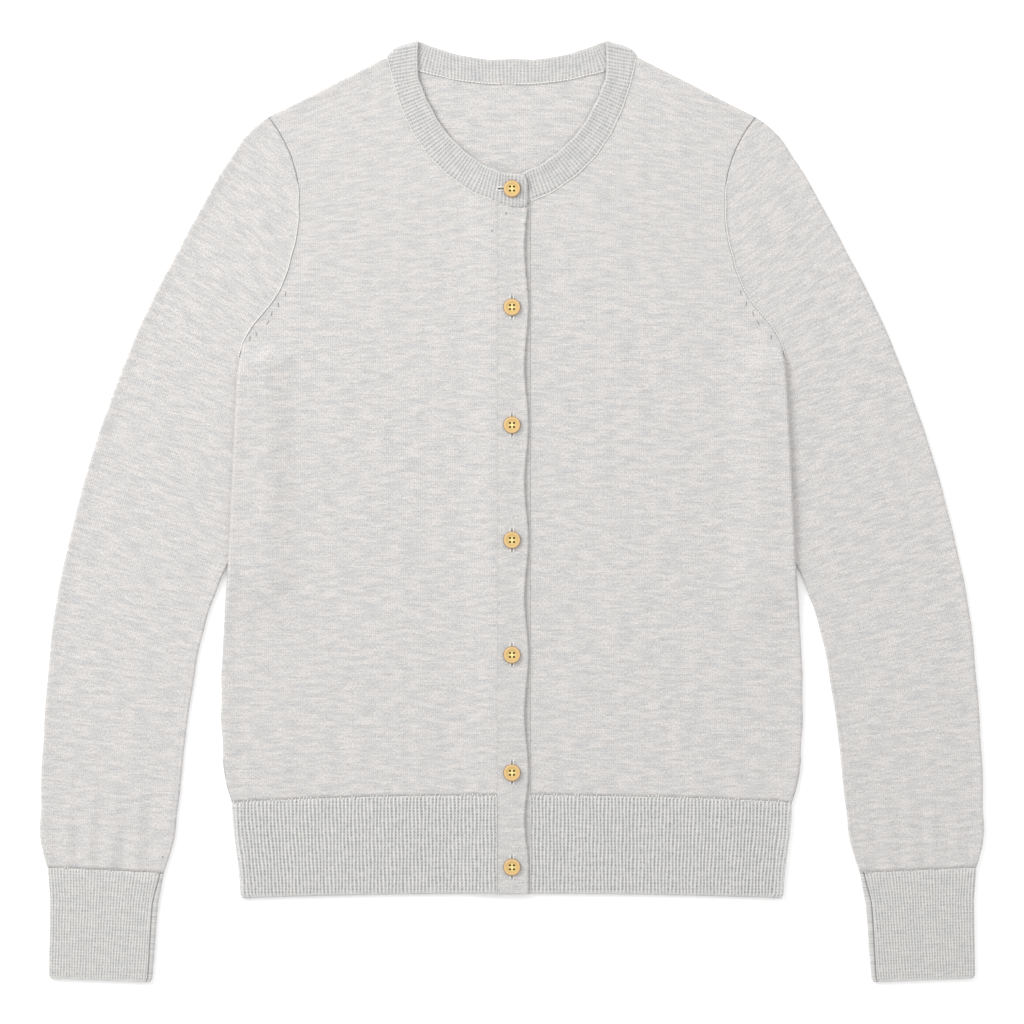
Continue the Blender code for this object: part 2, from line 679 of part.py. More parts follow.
def merge_places(ribs, plain):
    """Rib and plain places in one order, and which of them are rib places."""
    places = np.concatenate([ribs, plain])
    ribbed = np.concatenate([np.ones(len(ribs), bool), np.zeros(len(plain), bool)])
    order = np.argsort(places, kind="stable")
    return places[order], ribbed[order]


# Button plackets

def strip_grid(left, right, top, rows, columns, foot_inset):
    """Plan grid of an upright strip from a straight edge to a function, its foot corners cut."""
    share = np.linspace(0.0, 1.0, columns)
    grid = []
    for k, y in enumerate(rows):
        inset = foot_inset if k == 0 else 0.0
        x = left + inset + (right(y) - left - 2 * inset) * share
        grid.append(np.column_stack([x, np.minimum(y, np.interp(x, *top))]))
    return np.array(grid)


def placket_edge(y):
    """The upper placket's free edge: a wave that stands out at each button."""
    place = np.interp(-y, -np.array(BUTTON_Y), np.arange(len(BUTTON_Y)))
    return PLACKET_EDGE + PLACKET_WAVE * np.cos(2 * np.pi * place)


def make_placket(name, grid, level):
    """A placket strip lying level, as wide as its plan grid."""
    return cloth_wall(name, "placket", with_height(grid, level + BAND), with_height(grid, level))


def make_plackets():
    """The under placket, then the upper one on top of it with its upright buttonholes."""
    wave_rows = np.linspace(BUTTON_Y[-1], WAVE_TOP, WAVE_ROWS)
    rows = [PLACKET_FOOT, PLACKET_FOOT + PLACKET_CORNER[1], *wave_rows, PLACKET_TOP]
    under = strip_grid(UNDER_EDGES[0], lambda y: UNDER_EDGES[1], UNDER_TOP,
                       [PLACKET_FOOT, 0.0, PLACKET_TOP], 3, 0.0)
    upper = strip_grid(PLACKET_LEFT, placket_edge, UPPER_TOP, rows, 5, PLACKET_CORNER[0])
    make_placket("placket_left", under, RIB_Z)
    placket = make_placket("placket_right", upper, LAP_Z)
    for y in BUTTON_Y[1:]:
        cut_slit(placket, (0.0, y + SLIT_SHIFT), (SLIT_WIDTH, SLIT_LENGTH))


def cut_slit(piece, place, size):
    """Cut a buttonhole right through a piece with a Boolean box."""
    bpy.ops.mesh.primitive_cube_add(size=MM, location=(place[0] * MM, place[1] * MM, LAP_Z * MM))
    cutter = bpy.context.object
    cutter.scale = (*size, SLIT_DEPTH)
    cutter.name = f"slit_{len(collections['cutters'].objects)}"
    store_cutter(cutter)
    cut = piece.modifiers.new("buttonhole", "BOOLEAN")
    cut.operation = "DIFFERENCE"
    cut.object = cutter


def store_cutter(cutter):
    """Keep a cutter out of the render, in the collection of cutters."""
    for holder in list(cutter.users_collection):
        holder.objects.unlink(cutter)
    collections["cutters"].objects.link(cutter)
    cutter.hide_render = True
    cutter.display_type = "WIRE"


# Buttons

def button_mesh():
    """One button: a turned profile with a dished face and four thread holes through it."""
    profile = bpy.data.meshes.new("button")
    points = [(r * MM, 0.0, z * MM) for r, z in zip(*BUTTON_PROFILE.values())]
    profile.from_pydata(points, [(k, k + 1) for k in range(len(points) - 1)], [])
    turned = bpy.data.objects.new("button", profile)
    collections["cardigan"].objects.link(turned)
    screw = turned.modifiers.new("turn", "SCREW")
    screw.steps = screw.render_steps = BUTTON_SIDES
    screw.use_merge_vertices = True
    screw.merge_threshold = 1e-5
    for x in (-HOLE_OFFSET, HOLE_OFFSET):
        for y in (-HOLE_OFFSET, HOLE_OFFSET):
            bpy.ops.mesh.primitive_cylinder_add(
                vertices=HOLE_SIDES, radius=HOLE_RADIUS * MM, depth=4 * BUTTON_HEIGHT * MM,
                location=(x * MM, y * MM, 0.0))
            store_cutter(bpy.context.object)
            hole = turned.modifiers.new("thread_hole", "BOOLEAN")
            hole.operation = "DIFFERENCE"
            hole.object = bpy.context.object
    solid = turned.evaluated_get(bpy.context.evaluated_depsgraph_get())
    data = bpy.data.meshes.new_from_object(solid)
    bpy.data.objects.remove(turned)
    data.set_sharp_from_angle(angle=np.radians(CREASE_ANGLE))
    return data


def make_buttons():
    """Seven buttons down the lap: the first on the neckband, the others on the upper placket."""
    data = button_mesh()
    for k, y in enumerate(BUTTON_Y):
        level = NECK_LAP_Z + RIB + RIB_RISE if k == 0 else LAP_Z + BAND
        button = place_object(f"button_{k + 1}", "wood", data.copy())
        button.location = (0.0, y * MM, (level + GAP) * MM)


collections = {}


def start_scene():
    """Empty the scene and make the collections for the cardigan and for its cutters."""
    for item in list(bpy.data.objects):
        bpy.data.objects.remove(item)
    for name in ("cardigan", "cutters"):
        collections[name] = bpy.data.collections.new(name)
        bpy.context.scene.collection.children.link(collections[name])


start_scene()
back_grid = make_back()
make_front(-1, SEAM_RIGHT)
make_front(1, SEAM_LEFT)
for hand in (-1, 1):
    make_sleeve(hand)
    make_cuff(hand)
make_front_hem(-1, SEAM_RIGHT)
make_front_hem(1, SEAM_LEFT)
make_back_hem(back_grid)
neckband = make_neckband()
slit_place = (sum(NECK_SLIT_X) / 2, BUTTON_Y[0])
cut_slit(neckband, slit_place, (NECK_SLIT_X[1] - NECK_SLIT_X[0], SLIT_WIDTH))
make_plackets()
make_buttons()
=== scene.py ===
"""Looks of a button cardigan in fine heather jersey, buttoned up and laid flat.

The garment lies on the XY plane with its neck towards +Y and its front up. Lengths here are
millimetres until a mesh is made. A table of a half garment is written for the half at +X.
"""

import bmesh
import bpy
import numpy as np
from mathutils import Matrix, Vector


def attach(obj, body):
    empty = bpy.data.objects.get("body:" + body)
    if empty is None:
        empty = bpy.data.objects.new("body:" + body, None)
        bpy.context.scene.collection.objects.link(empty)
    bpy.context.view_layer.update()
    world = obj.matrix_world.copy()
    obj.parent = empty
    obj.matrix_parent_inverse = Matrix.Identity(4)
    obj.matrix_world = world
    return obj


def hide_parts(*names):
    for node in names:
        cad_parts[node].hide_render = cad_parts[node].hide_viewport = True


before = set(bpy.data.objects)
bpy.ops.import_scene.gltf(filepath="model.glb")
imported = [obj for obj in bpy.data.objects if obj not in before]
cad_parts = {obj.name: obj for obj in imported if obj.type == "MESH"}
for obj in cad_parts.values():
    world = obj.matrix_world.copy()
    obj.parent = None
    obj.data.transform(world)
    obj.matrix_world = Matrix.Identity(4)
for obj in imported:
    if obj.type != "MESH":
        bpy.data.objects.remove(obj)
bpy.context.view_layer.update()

# ---------------------------------------------------------------------------------------------
# The back. One panel of plain knit, made to shape on a flat machine from a carded wool and
# cotton yarn whose light and grey fibres were mixed before spinning. The rest of the garment
# lies on it.

MM = 0.001                # metres in a millimetre
JERSEY = 1.2              # wall of the plain knit
ROLL = 1.7                # radius of the soft turn where a layer folds back
CELL = 2.9                # mesh cell of the plain knit
NEAR_EDGE = (0.0, 0.12, 0.35, 0.7, 1.2, 1.8, 2.7, 4.0, 5.8, 8.0)  # finer cells beside an edge


def table(names, rows):
    """The columns of a table of rows, by name."""
    return dict(zip(names.split(), np.array(rows, float).T))


def line_of(columns):
    """The points of a line from the columns of its table."""
    return np.column_stack(list(columns.values()))


def smoothstep(low, high, value):
    """0 at low, 1 at high, eased between them by 3t^2 - 2t^3."""
    t = np.clip((np.asarray(value, float) - low) / (high - low), 0.0, 1.0)
    return t * t * (3.0 - 2.0 * t)


def spline(knots, values, at):
    """Cubic through values at knots, read at other places; each slope comes from three knots."""
    knots, values = np.asarray(knots, float), np.asarray(values, float)
    step = np.diff(knots)
    rise = np.diff(values) / step
    slope = np.concatenate([rise[:1], rise[1:], rise[-1:]])
    slope[1:-1] = (rise[:-1] * step[1:] + rise[1:] * step[:-1]) / (step[1:] + step[:-1])
    k = np.clip(np.searchsorted(knots, at) - 1, 0, len(step) - 1)
    t = (at - knots[k]) / step[k]
    start = values[k] + t * step[k] * slope[k]
    end = values[k + 1] - (1 - t) * step[k] * slope[k + 1]
    blend = t * t * (3 - 2 * t)
    return start * (1 - blend) + end * blend


def lengths(line):
    """Distance of each point of a line from its start."""
    return np.append(0.0, np.cumsum(np.linalg.norm(np.diff(line, axis=0), axis=1)))


def smooth_line(points, count=400):
    """Evenly fine line on the cubic through hand-set points, by distance along them."""
    knots = lengths(points)
    at = np.linspace(0.0, knots[-1], count)
    return np.column_stack([spline(knots, column, at) for column in points.T])


def walk(line, distance):
    """Points at these distances along a line."""
    return np.column_stack([np.interp(distance, lengths(line), column) for column in line.T])


def away_from(line, points):
    """Distance of each point from a line of straight runs."""
    shape = points.shape[:-1]
    nearest = np.full(shape, np.inf)
    for start, end in zip(line[:-1], line[1:]):
        run = end - start
        share = np.clip(((points - start) @ run) / (run @ run), 0.0, 1.0)
        nearest = np.minimum(nearest, np.linalg.norm(points - start - share[..., None] * run, axis=-1))
    return nearest


def stations(length, middle, both=True):
    """Places across a width: fine steps beside its edges and this many even steps between."""
    near = np.array(NEAR_EDGE)
    far = length - near[::-1] if both else np.array([length])
    return np.concatenate([near, np.linspace(near[-1], far[0], middle + 1)[1:-1], far])


def grid_cells(rows, across, closed):
    """Row and column of the four corners of each cell of a grid, anticlockwise."""
    r, c = np.meshgrid(np.arange(rows - 1), np.arange(across if closed else across - 1), indexing="ij")
    r, c = r.ravel(), c.ravel()
    return np.column_stack([r, r, r + 1, r + 1]), np.column_stack([c, c + 1, c + 1, c])


def border(rows, across, closed):
    """Row and column of the points round a grid's rim: a loop, or the two ends of a tube."""
    if closed:
        turn = np.arange(across + 1)
        return [(np.full(across + 1, r), turn) for r in (0, rows - 1)]
    r = np.concatenate([np.zeros(across - 1), np.arange(rows - 1),
                        np.full(across - 1, rows - 1), np.arange(rows - 1, -1, -1)]).astype(int)
    c = np.concatenate([np.arange(across - 1), np.full(rows - 1, across - 1),
                        np.arange(across - 1, 0, -1), np.zeros(rows)]).astype(int)
    return [(r, c)]


def add_mesh(name, points, faces, material, knit=None):
    """A named object from points and a list of faces, its normals out, and its map called knit."""
    mesh = bpy.data.meshes.new(name)
    mesh.from_pydata((points * MM).tolist(), [], faces)
    if knit is not None:
        layer = mesh.uv_layers.new(name="knit")
        layer.data.foreach_set("uv", knit.astype(np.float32).ravel())
    work = bmesh.new()
    work.from_mesh(mesh)
    bmesh.ops.recalc_face_normals(work, faces=work.faces)
    work.to_mesh(mesh)
    work.free()
    mesh.shade_smooth()
    mesh.materials.append(material)
    piece = bpy.data.objects.new(name, mesh)
    bpy.context.scene.collection.objects.link(piece)
    return piece


def cloth(name, outer, inner, knit, material, closed=False):
    """A wall of cloth: two grids of points, one for each face, joined by a strip round their rims.

    knit is where each point lies in the knitting: across the wales and along them. It has one
    column more than the grids where they close to a tube.
    """
    rows, across = outer.shape[:2]
    r, c = grid_cells(rows, across, closed)
    faces, corners = [r * across + c % across], [(r, c)]
    faces.append(faces[0][:, ::-1] + rows * across)
    corners.append((r[:, ::-1], c[:, ::-1]))
    for rim_r, rim_c in border(rows, across, closed):
        a = rim_r * across + rim_c % across
        faces.append(np.column_stack([a[:-1], a[1:], a[1:] + rows * across, a[:-1] + rows * across]))
        four = [slice(None, -1), slice(1, None), slice(1, None), slice(None, -1)]
        corners.append(tuple(np.column_stack([line[part] for part in four]) for line in (rim_r, rim_c)))
    faces = np.vstack(faces)
    at_row, at_column = (np.vstack([pair[k] for pair in corners]) for k in (0, 1))
    points = np.vstack([outer.reshape(-1, 3), inner.reshape(-1, 3)])
    return add_mesh(name, points, faces.tolist(), material, knit[at_row, at_column])


def with_height(plan, height):
    """Plan points given a height each."""
    return np.dstack([plan, np.broadcast_to(height, plan.shape[:2])])


def ellipse(depth, radius):
    """0 at an edge and 1 from one radius in, along a quarter of an ellipse."""
    t = 1.0 - np.clip(depth / radius, 0.0, 1.0)
    return np.sqrt(1.0 - t * t)


def srgb(code):
    """Linear colour of an sRGB hex value."""
    value = np.array([int(code[k:k + 2], 16) for k in (1, 3, 5)]) / 255.0
    linear = np.where(value > 0.04045, ((value + 0.055) / 1.055) ** 2.4, value / 12.92)
    return (*linear, 1.0)


def node(tree, kind, settings, inputs, output=0, stops=()):
    """Add a node with its settings, feed its inputs by number or name, and give one output. The
    stops are those of a colour ramp: places, each with a hex colour or a grey value."""
    item = tree.nodes.new("ShaderNode" + kind)
    for key, value in settings.items():
        setattr(item, key, value)
    for key, value in inputs.items():
        if isinstance(value, bpy.types.NodeSocket):
            tree.links.new(value, item.inputs[key])
        else:
            item.inputs[key].default_value = value
    for _ in stops[2:]:
        item.color_ramp.elements.new(0.5)
    for k, (place, colour) in enumerate(stops):
        stop = item.color_ramp.elements[k]
        stop.position = place
        stop.color = srgb(colour) if isinstance(colour, str) else (colour, colour, colour, 1.0)
    return item.outputs[output]


def start_material(name, finish):
    """A new material whose shader has the values of this finish, its node tree and its shader."""
    material = bpy.data.materials.new(name)
    material.use_nodes = True
    shader = material.node_tree.nodes["Principled BSDF"]
    for key, value in finish.items():
        shader.inputs[key].default_value = value
    return material, material.node_tree, shader


SEED_STEP = (37.1, 11.7, 0.0)  # how far the pattern moves from one seed to the next


def stretched_noise(tree, place, across, along, detail, seed):
    """Noise whose grains are so many millimetres across the wales and along them, 0 to 1."""
    moved = tuple(seed * step for step in SEED_STEP)
    point = node(tree, "Mapping", {"vector_type": "POINT"}, {
        "Vector": place, "Location": moved, "Scale": (1 / across, 1 / along, 1)})
    return node(tree, "TexNoise", {"noise_dimensions": "2D"}, {
        "Vector": point, "Scale": 1.0, "Detail": detail, "Roughness": 0.6})


def wave(tree, place, axis, pitch):
    """Cosine from -1 to 1 along one axis of the knit map, with a pitch in millimetres."""
    along = node(tree, "SeparateXYZ", {}, {0: place}, output=axis)
    turns = node(tree, "Math", {"operation": "MULTIPLY"}, {0: along, 1: 2 * np.pi / pitch})
    return node(tree, "Math", {"operation": "COSINE"}, {0: turns})


# Settings of a mix of two colours: one laid over the other, or the two multiplied.
OVER = {"data_type": "RGBA", "blend_type": "MIX"}
TIMES = {"data_type": "RGBA", "blend_type": "MULTIPLY"}
# Bundles of fibre of one colour: length and seed of their streaks, how strong they are, colour.
BUNDLES = ((12.0, 2, 0.55, "#F0EDE9"), (13.0, 3, 0.4, "#B5B5B4"))
KNIT_FINISH = {"Roughness": 0.95, "Sheen Weight": 0.06, "Specular IOR Level": 0.2}  # matt, hairy
JERSEY_STITCH = (1.5, 1.1)  # wale to wale and course to course of the plain knit, as drawn


def heather(tree, place, base, dark, light, streaks, grain):
    """Colour of the mixed yarn: soft cloudy patches, then thin light and dark streaks along the
    courses where a fibre bundle of one colour was knitted in, then the grain of single stitches,
    some drawn out along the wales and some along the courses."""
    cloud = stretched_noise(tree, place, across=15.0, along=3.2, detail=3.0, seed=1)
    colour = node(tree, "ValToRGB", {}, {0: cloud}, stops=[(0.36, dark), (0.5, base), (0.64, light)])
    for length, seed, strength, bundle in BUNDLES:
        streak = stretched_noise(tree, place, across=length, along=0.8, detail=1.0, seed=seed)
        shown = node(tree, "ValToRGB", {}, {0: streak}, stops=[(0.57, 0.0), (0.76, strength * streaks)])
        colour = node(tree, "Mix", OVER, {0: shown, 6: colour, 7: srgb(bundle)}, output=2)
    wales = stretched_noise(tree, place, across=0.62, along=1.5, detail=1.0, seed=4)
    courses = stretched_noise(tree, place, across=1.7, along=0.6, detail=1.0, seed=9)
    both = node(tree, "Math", {"operation": "ADD"}, {0: wales, 1: courses})
    both = node(tree, "Math", {"operation": "MULTIPLY"}, {0: both, 1: 0.5})
    speck = node(tree, "ValToRGB", {}, {0: both}, stops=[(0.38, 1.0 - 0.23 * grain), (0.62, 1.0)])
    return node(tree, "Mix", TIMES, {0: 1.0, 6: colour, 7: speck}, output=2)


def dress(tree, shader, colour, height, strength, deep):
    """Give a knit's shader its colour, and its height as a bump this many millimetres deep."""
    bump = node(tree, "Bump", {}, {"Strength": strength, "Distance": deep * MM, "Height": height})
    tree.links.new(colour, shader.inputs["Base Color"])
    tree.links.new(bump, shader.inputs["Normal"])


def jersey_material():
    """Plain-knit heather yarn, carded wool and cotton, soft and matt: its fine wales and courses
    only grain the surface, and the eye sees the streaks of the mixed fibres. The stitch is
    drawn at 1.5 by 1.1 mm, a little coarser than the real one, so that it shows at all."""
    material, tree, shader = start_material("heather_jersey", {**KNIT_FINISH, "Sheen Roughness": 0.6})
    place = node(tree, "UVMap", {"uv_map": "knit"}, {})
    colour = heather(tree, place, "#DDDBD9", "#D5D4D4", "#E5E1DF", streaks=1.0, grain=1.0)
    wales, courses = (wave(tree, place, axis, JERSEY_STITCH[axis]) for axis in (0, 1))
    # Colour falls to 0.93 of itself between the wales: painted shade of the hollows between them.
    sides = node(tree, "Math", {"operation": "MULTIPLY_ADD"}, {0: wales, 1: 0.5, 2: 0.5})
    shade = node(tree, "ValToRGB", {}, {0: sides}, stops=[(0.0, 0.93), (1.0, 1.0)])
    colour = node(tree, "Mix", TIMES, {0: 1.0, 6: colour, 7: shade}, output=2)
    stitch = node(tree, "Math", {"operation": "MULTIPLY"}, {0: wales, 1: courses})
    stitch = node(tree, "Math", {"operation": "ADD"}, {0: stitch, 1: wales})
    fluff = stretched_noise(tree, place, across=0.9, along=1.3, detail=3.0, seed=5)
    height = node(tree, "Math", {"operation": "MULTIPLY_ADD"}, {0: fluff, 1: 5.0, 2: stitch})
    dress(tree, shader, colour, height, strength=0.35, deep=0.16)
    return material


# Half width of the body at its side, from the hem seam up to the underarm.
BODY_SIDE = table("half y", [
    (196.0, -203.7), (200.2, -188.0), (202.2, -165.0), (203.2, -130.0), (202.0, -90.0),
    (199.0, -41.0), (197.5, -10.0), (195.2, 40.0), (193.3, 76.3), (192.3, 93.8),
    (190.8, 106.4), (188.3, 116.9),
])
# Armhole seam, from the underarm up to the shoulder tip.
ARMHOLE = table("half y", [
    (188.3, 116.9), (184.1, 124.9), (173.6, 138.6), (165.6, 149.1), (158.9, 162.4),
    (154.0, 178.5), (150.2, 194.6), (149.1, 213.5), (150.2, 231.7), (152.6, 241.5),
    (158.2, 256.2), (170.2, 275.6),
])
NECK_POINT = (89.6, 316.6)  # high end of the shoulder, beside the neckband
BACK_NECK = table("half y", [
    (86.7, 316.4), (78.5, 311.9), (66.2, 308.4), (52.0, 304.9), (30.0, 300.6), (0.0, 298.6),
])
JOIN_Y = -198.8           # seam between body and hem, at the centre line
JOIN_DROOP = 4.9          # how far that seam sinks at the side
DROOP_REACH = 60.0        # and over what height the panels follow it
BLEND_START = 170.0       # height on the armhole above which rows turn towards the shoulder

# The body's sides are lifted where the sleeves lie under them.
LIFT = 3.9
LIFT_TOP = (104.5, 116.9)    # full below the first height, none above the second
LIFT_FOOT = (-90.0, -41.0)   # none below the first height, full above the second
LIFT_SIDE = (148.0, 174.0)   # none inside the first half width, full outside the second

SIDE = smooth_line(line_of(BODY_SIDE))
ARM = smooth_line(line_of(ARMHOLE))
SHOULDER = np.array([ARM[-1], NECK_POINT])
COARSE = 20               # every so many points of those lines are enough to measure from
BACK_ROUND = 0.9          # share of the wall that the back's underside rounds up at a fold
# The courses slope with the shoulders, from none to all between these heights, and less steeply
# this near the middle. The pattern of each piece is moved, so that no two show the same part.
SLANT_RANGE, SLANT_ROUND = (130.0, 300.0), 60.0
BACK_SLANT, BACK_MOVED = 0.12, (900.0, 0.0)


def body_lift(plan):
    """How far the body is raised over the sleeves: a product of three eased steps."""
    half, y = np.abs(plan[..., 0]), plan[..., 1]
    height = (1 - smoothstep(*LIFT_TOP, y)) * smoothstep(*LIFT_FOOT, y)
    return LIFT * height * smoothstep(*LIFT_SIDE, half)


def panel_plan(centre_x, neck):
    """Plan grid of a body panel from its side and armhole in to centre_x.

    Each row is the chord from the outer edge to the inner one. Towards the top it takes on a
    growing share of the bulge that turns the last chord into the shoulder and neck line.
    """
    side_at = np.linspace(0.0, lengths(SIDE)[-1], int(lengths(SIDE)[-1] / CELL))
    arm_length = lengths(ARM)[-1]
    arm_at = arm_length - stations(arm_length, int(arm_length / CELL), both=False)[::-1]
    edge = np.vstack([walk(SIDE, side_at), walk(ARM, arm_at)[1:]])
    climb = np.clip((edge[:, 1] - BLEND_START) / (ARM[-1, 1] - BLEND_START), 0.0, 1.0)
    inner_y = np.where(climb > 0, BLEND_START + (neck[-1, 1] - BLEND_START) * climb, edge[:, 1])
    inner = np.column_stack([np.full(len(edge), centre_x), inner_y])
    top = np.vstack([SHOULDER, neck])
    middle = int((BODY_SIDE["half"].max() - centre_x) / CELL)
    rows = []
    for outer_end, inner_end, share in zip(edge, inner, climb):
        width = np.linalg.norm(inner_end - outer_end)
        at = (stations(width, middle, both=centre_x > 0) / width)[:, None]
        chord = ARM[-1] + (neck[-1] - ARM[-1]) * at
        bulge = walk(top, at[:, 0] * lengths(top)[-1]) - chord
        rows.append(outer_end + (inner_end - outer_end) * at + share * bulge)
    plan = np.array(rows)
    droop = JOIN_DROOP * (1.0 - (plan[..., 0] / BODY_SIDE["half"][0]) ** 2)
    plan[..., 1] += droop * (1 - smoothstep(SIDE[0, 1], SIDE[0, 1] + DROOP_REACH, plan[..., 1]))
    return plan


def knit_place(plan, slope):
    """Where the body's points lie in the knitting: courses level, sloping with the shoulders by
    this much of the root of x squared plus 60 squared, and less and less below them."""
    fade = slope * smoothstep(*SLANT_RANGE, plan[..., 1])
    return np.dstack([plan[..., 0], plan[..., 1] + fade * np.hypot(plan[..., 0], SLANT_ROUND)])


def body_piece(piece, node_name):
    """Let a piece ride on the garment in place of its plain solid."""
    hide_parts(node_name)
    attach(piece, "root")
    return piece


jersey = jersey_material()
back_half = panel_plan(0.0, line_of(BACK_NECK))
back_plan = np.concatenate([back_half * [-1.0, 1.0], back_half[:, -2::-1]], axis=1)
side_fold = np.vstack([SIDE[::COARSE], SIDE[-1:]])
mirror_plan = np.dstack([np.abs(back_plan[..., 0]), back_plan[..., 1]])
fold_depth = np.minimum(away_from(side_fold, mirror_plan), away_from(SHOULDER, mirror_plan))
lift = body_lift(back_plan)
back_under = lift + BACK_ROUND * JERSEY * (1 - ellipse(fold_depth, ROLL))
back_panel = cloth("back_panel", with_height(back_plan, lift + JERSEY),
                   with_height(back_plan, back_under),
                   knit_place(back_plan, BACK_SLANT) + BACK_MOVED, jersey)
body_piece(back_panel, "back")

# ---------------------------------------------------------------------------------------------
# The two fronts. The same plain knit, each shaped at its armhole and neck and linked to the back
# at the side and shoulder, where the garment folds. The right one climbs over the left beside its
# placket, and both stand in soft lines left by wear and by the hem.

HANDS = {"right": -1.0, "left": 1.0}  # the wearer's hands, and the sign of x on that side
GAP = 0.3                 # air between layers
LINKED = 0.01             # air left where two edges are linked close
FRONT_Z = JERSEY + GAP    # inner face of a front, on the back
FULLNESS = 0.7            # how much the cloth stands up beside a fold
FULL_REACH = 8.0          # how far in from the fold that fullness dies away
LAP_RISE = 2.0            # how far the right front climbs beside the placket
LAP_REACH = (13.0, 38.0)  # between these distances from the centre line
FRONT_SEAM = {"right": 10.5 + LINKED, "left": 12.6 + LINKED}  # edge at the placket, from the centre
FRONT_NECK = table("half y", [
    (86.7, 316.4), (84.2, 305.4), (79.8, 289.8), (73.2, 273.3), (63.6, 256.4), (51.6, 241.6),
    (37.5, 229.9), (17.5, 218.7), (0.0, 213.0),
])
FRONT_SLANT = 0.34        # slant of the courses towards the shoulder
FRONT_THIN = 0.2          # what is left of the wall where its outer face turns down
NECK_SINK, NECK_REACH = 0.1, 0.8  # the neck edge sinks into its seam with the neckband
NECK_COARSE = 12          # every so many points of the neck's line are enough to measure from
GROOVE = (227.0, 236.0)   # the armhole seam sinks above these heights and stands up below them
GROOVE_DEPTH, GROOVE_WIDTH = 0.8, 1.3
GROOVE_END = 6.0          # the groove dies away this near the shoulder tip
# Bells across the armhole seam: middle, half width and height.
SEAM_RIDGE, SEAM_LINE = (0.9, 0.6, 0.22), (0.0, 0.3, -0.1)
BLUNT_REACH = 9.0         # near the ends of the armhole the folds turn down less, by this distance
# Soft lines: middle x, middle y, angle, length, width, height, bend.
FRONT_LINES = {
    "right": [
        (-140.4, 274.0, 15, 26, 1.1, 0.16, 1.0), (-104.0, 240.5, 3, 46, 1.2, 0.16, -2.0),
        (-127.0, 248.0, 9, 30, 1.0, 0.12, 0.6), (-108.0, 255.0, 5, 36, 1.1, 0.10, -1.0),
        (-88.0, 226.0, 2, 40, 1.6, 0.10, 1.2), (-118.0, 212.0, -2, 34, 1.3, 0.10, 0.8),
        (-136.0, 117.0, 0, 18, 0.8, -0.22, 0.3), (-96.0, 148.0, 2, 44, 1.8, 0.10, -1.5),
        (-52.0, 176.0, -4, 58, 2.2, 0.12, 2.0), (-120.0, 60.0, 1, 70, 3.0, 0.14, 2.0),
        (-60.0, 22.0, -2, 64, 2.6, -0.12, 1.0), (-150.0, -30.0, 8, 60, 4.0, 0.20, -2.0),
        (-95.0, -92.0, -3, 84, 3.6, 0.16, 3.0), (-132.0, -126.0, 38, 52, 4.0, 0.22, 2.0),
        (-118.0, -150.0, 46, 44, 3.4, -0.20, 1.0), (-46.0, -118.0, 3, 60, 3.0, 0.12, -2.0),
        (-176.0, 96.0, -52, 44, 4.0, 0.24, 2.0), (-166.0, 84.0, -44, 58, 4.4, -0.18, 3.0),
        (-30.0, 60.0, -6, 44, 5.0, 0.14, 2.0), (-32.0, -20.0, 5, 40, 5.0, 0.12, -1.0),
    ],
    "left": [
        (118.0, 262.0, -14, 34, 1.1, 0.14, 1.0), (92.0, 246.0, -5, 42, 1.2, 0.14, 1.6),
        (130.0, 231.0, -8, 38, 1.3, 0.12, -1.0), (76.0, 232.0, -3, 34, 1.1, 0.10, 1.0),
        (112.0, 204.0, 3, 44, 1.6, 0.10, -1.2), (89.0, 145.0, 5, 36, 1.2, 0.15, 0.8),
        (104.0, 136.0, 2, 30, 1.1, 0.12, -0.6), (58.0, 160.0, 12, 52, 2.6, 0.12, -3.0),
        (66.0, 116.0, 8, 60, 2.8, 0.12, -2.0), (140.0, 62.0, 2, 66, 3.0, 0.14, -2.0),
        (52.0, 40.0, 4, 48, 3.4, 0.12, 1.0), (150.0, -24.0, -9, 54, 4.0, 0.18, 2.0),
        (88.0, -60.0, 2, 90, 3.2, 0.14, -2.0), (134.0, -108.0, -30, 50, 4.0, 0.18, -2.0),
        (60.0, -140.0, -4, 62, 3.6, -0.14, 2.0), (176.0, 94.0, 54, 44, 4.0, 0.24, -2.0),
        (165.0, 80.0, 42, 56, 4.4, -0.18, -3.0), (34.0, 92.0, 7, 40, 5.0, 0.12, 1.0),
    ],
}
FLUTE_MIDDLE, FLUTE_STRETCH = 0.3, 1.6  # a flute's middle and whole run, as shares of its length
# Flutes where the plain knit is gathered on to the narrower rib: place, length, width, height.
HEM_FLUTES = [
    (-186, 40, 3.0, 0.5), (-171, 26, 2.4, -0.4), (-158, 54, 3.2, 0.5), (-139, 30, 2.6, -0.45),
    (-127, 44, 2.8, 0.4), (-108, 66, 3.6, 0.45), (-94, 28, 2.2, -0.5), (-83, 38, 2.6, 0.45),
    (-66, 58, 3.4, 0.4), (-52, 26, 2.2, -0.4), (-38, 40, 2.6, 0.45), (-22, 30, 2.4, 0.3),
    (20, 30, 2.4, 0.45), (33, 46, 3.0, -0.35), (47, 28, 2.2, 0.5), (62, 56, 3.2, 0.35),
    (76, 32, 2.4, -0.45), (91, 44, 2.8, 0.5), (112, 62, 3.6, -0.35), (126, 26, 2.2, 0.5),
    (141, 42, 2.8, -0.4), (157, 34, 2.4, 0.5), (172, 54, 3.4, 0.4), (187, 30, 2.4, -0.3),
]


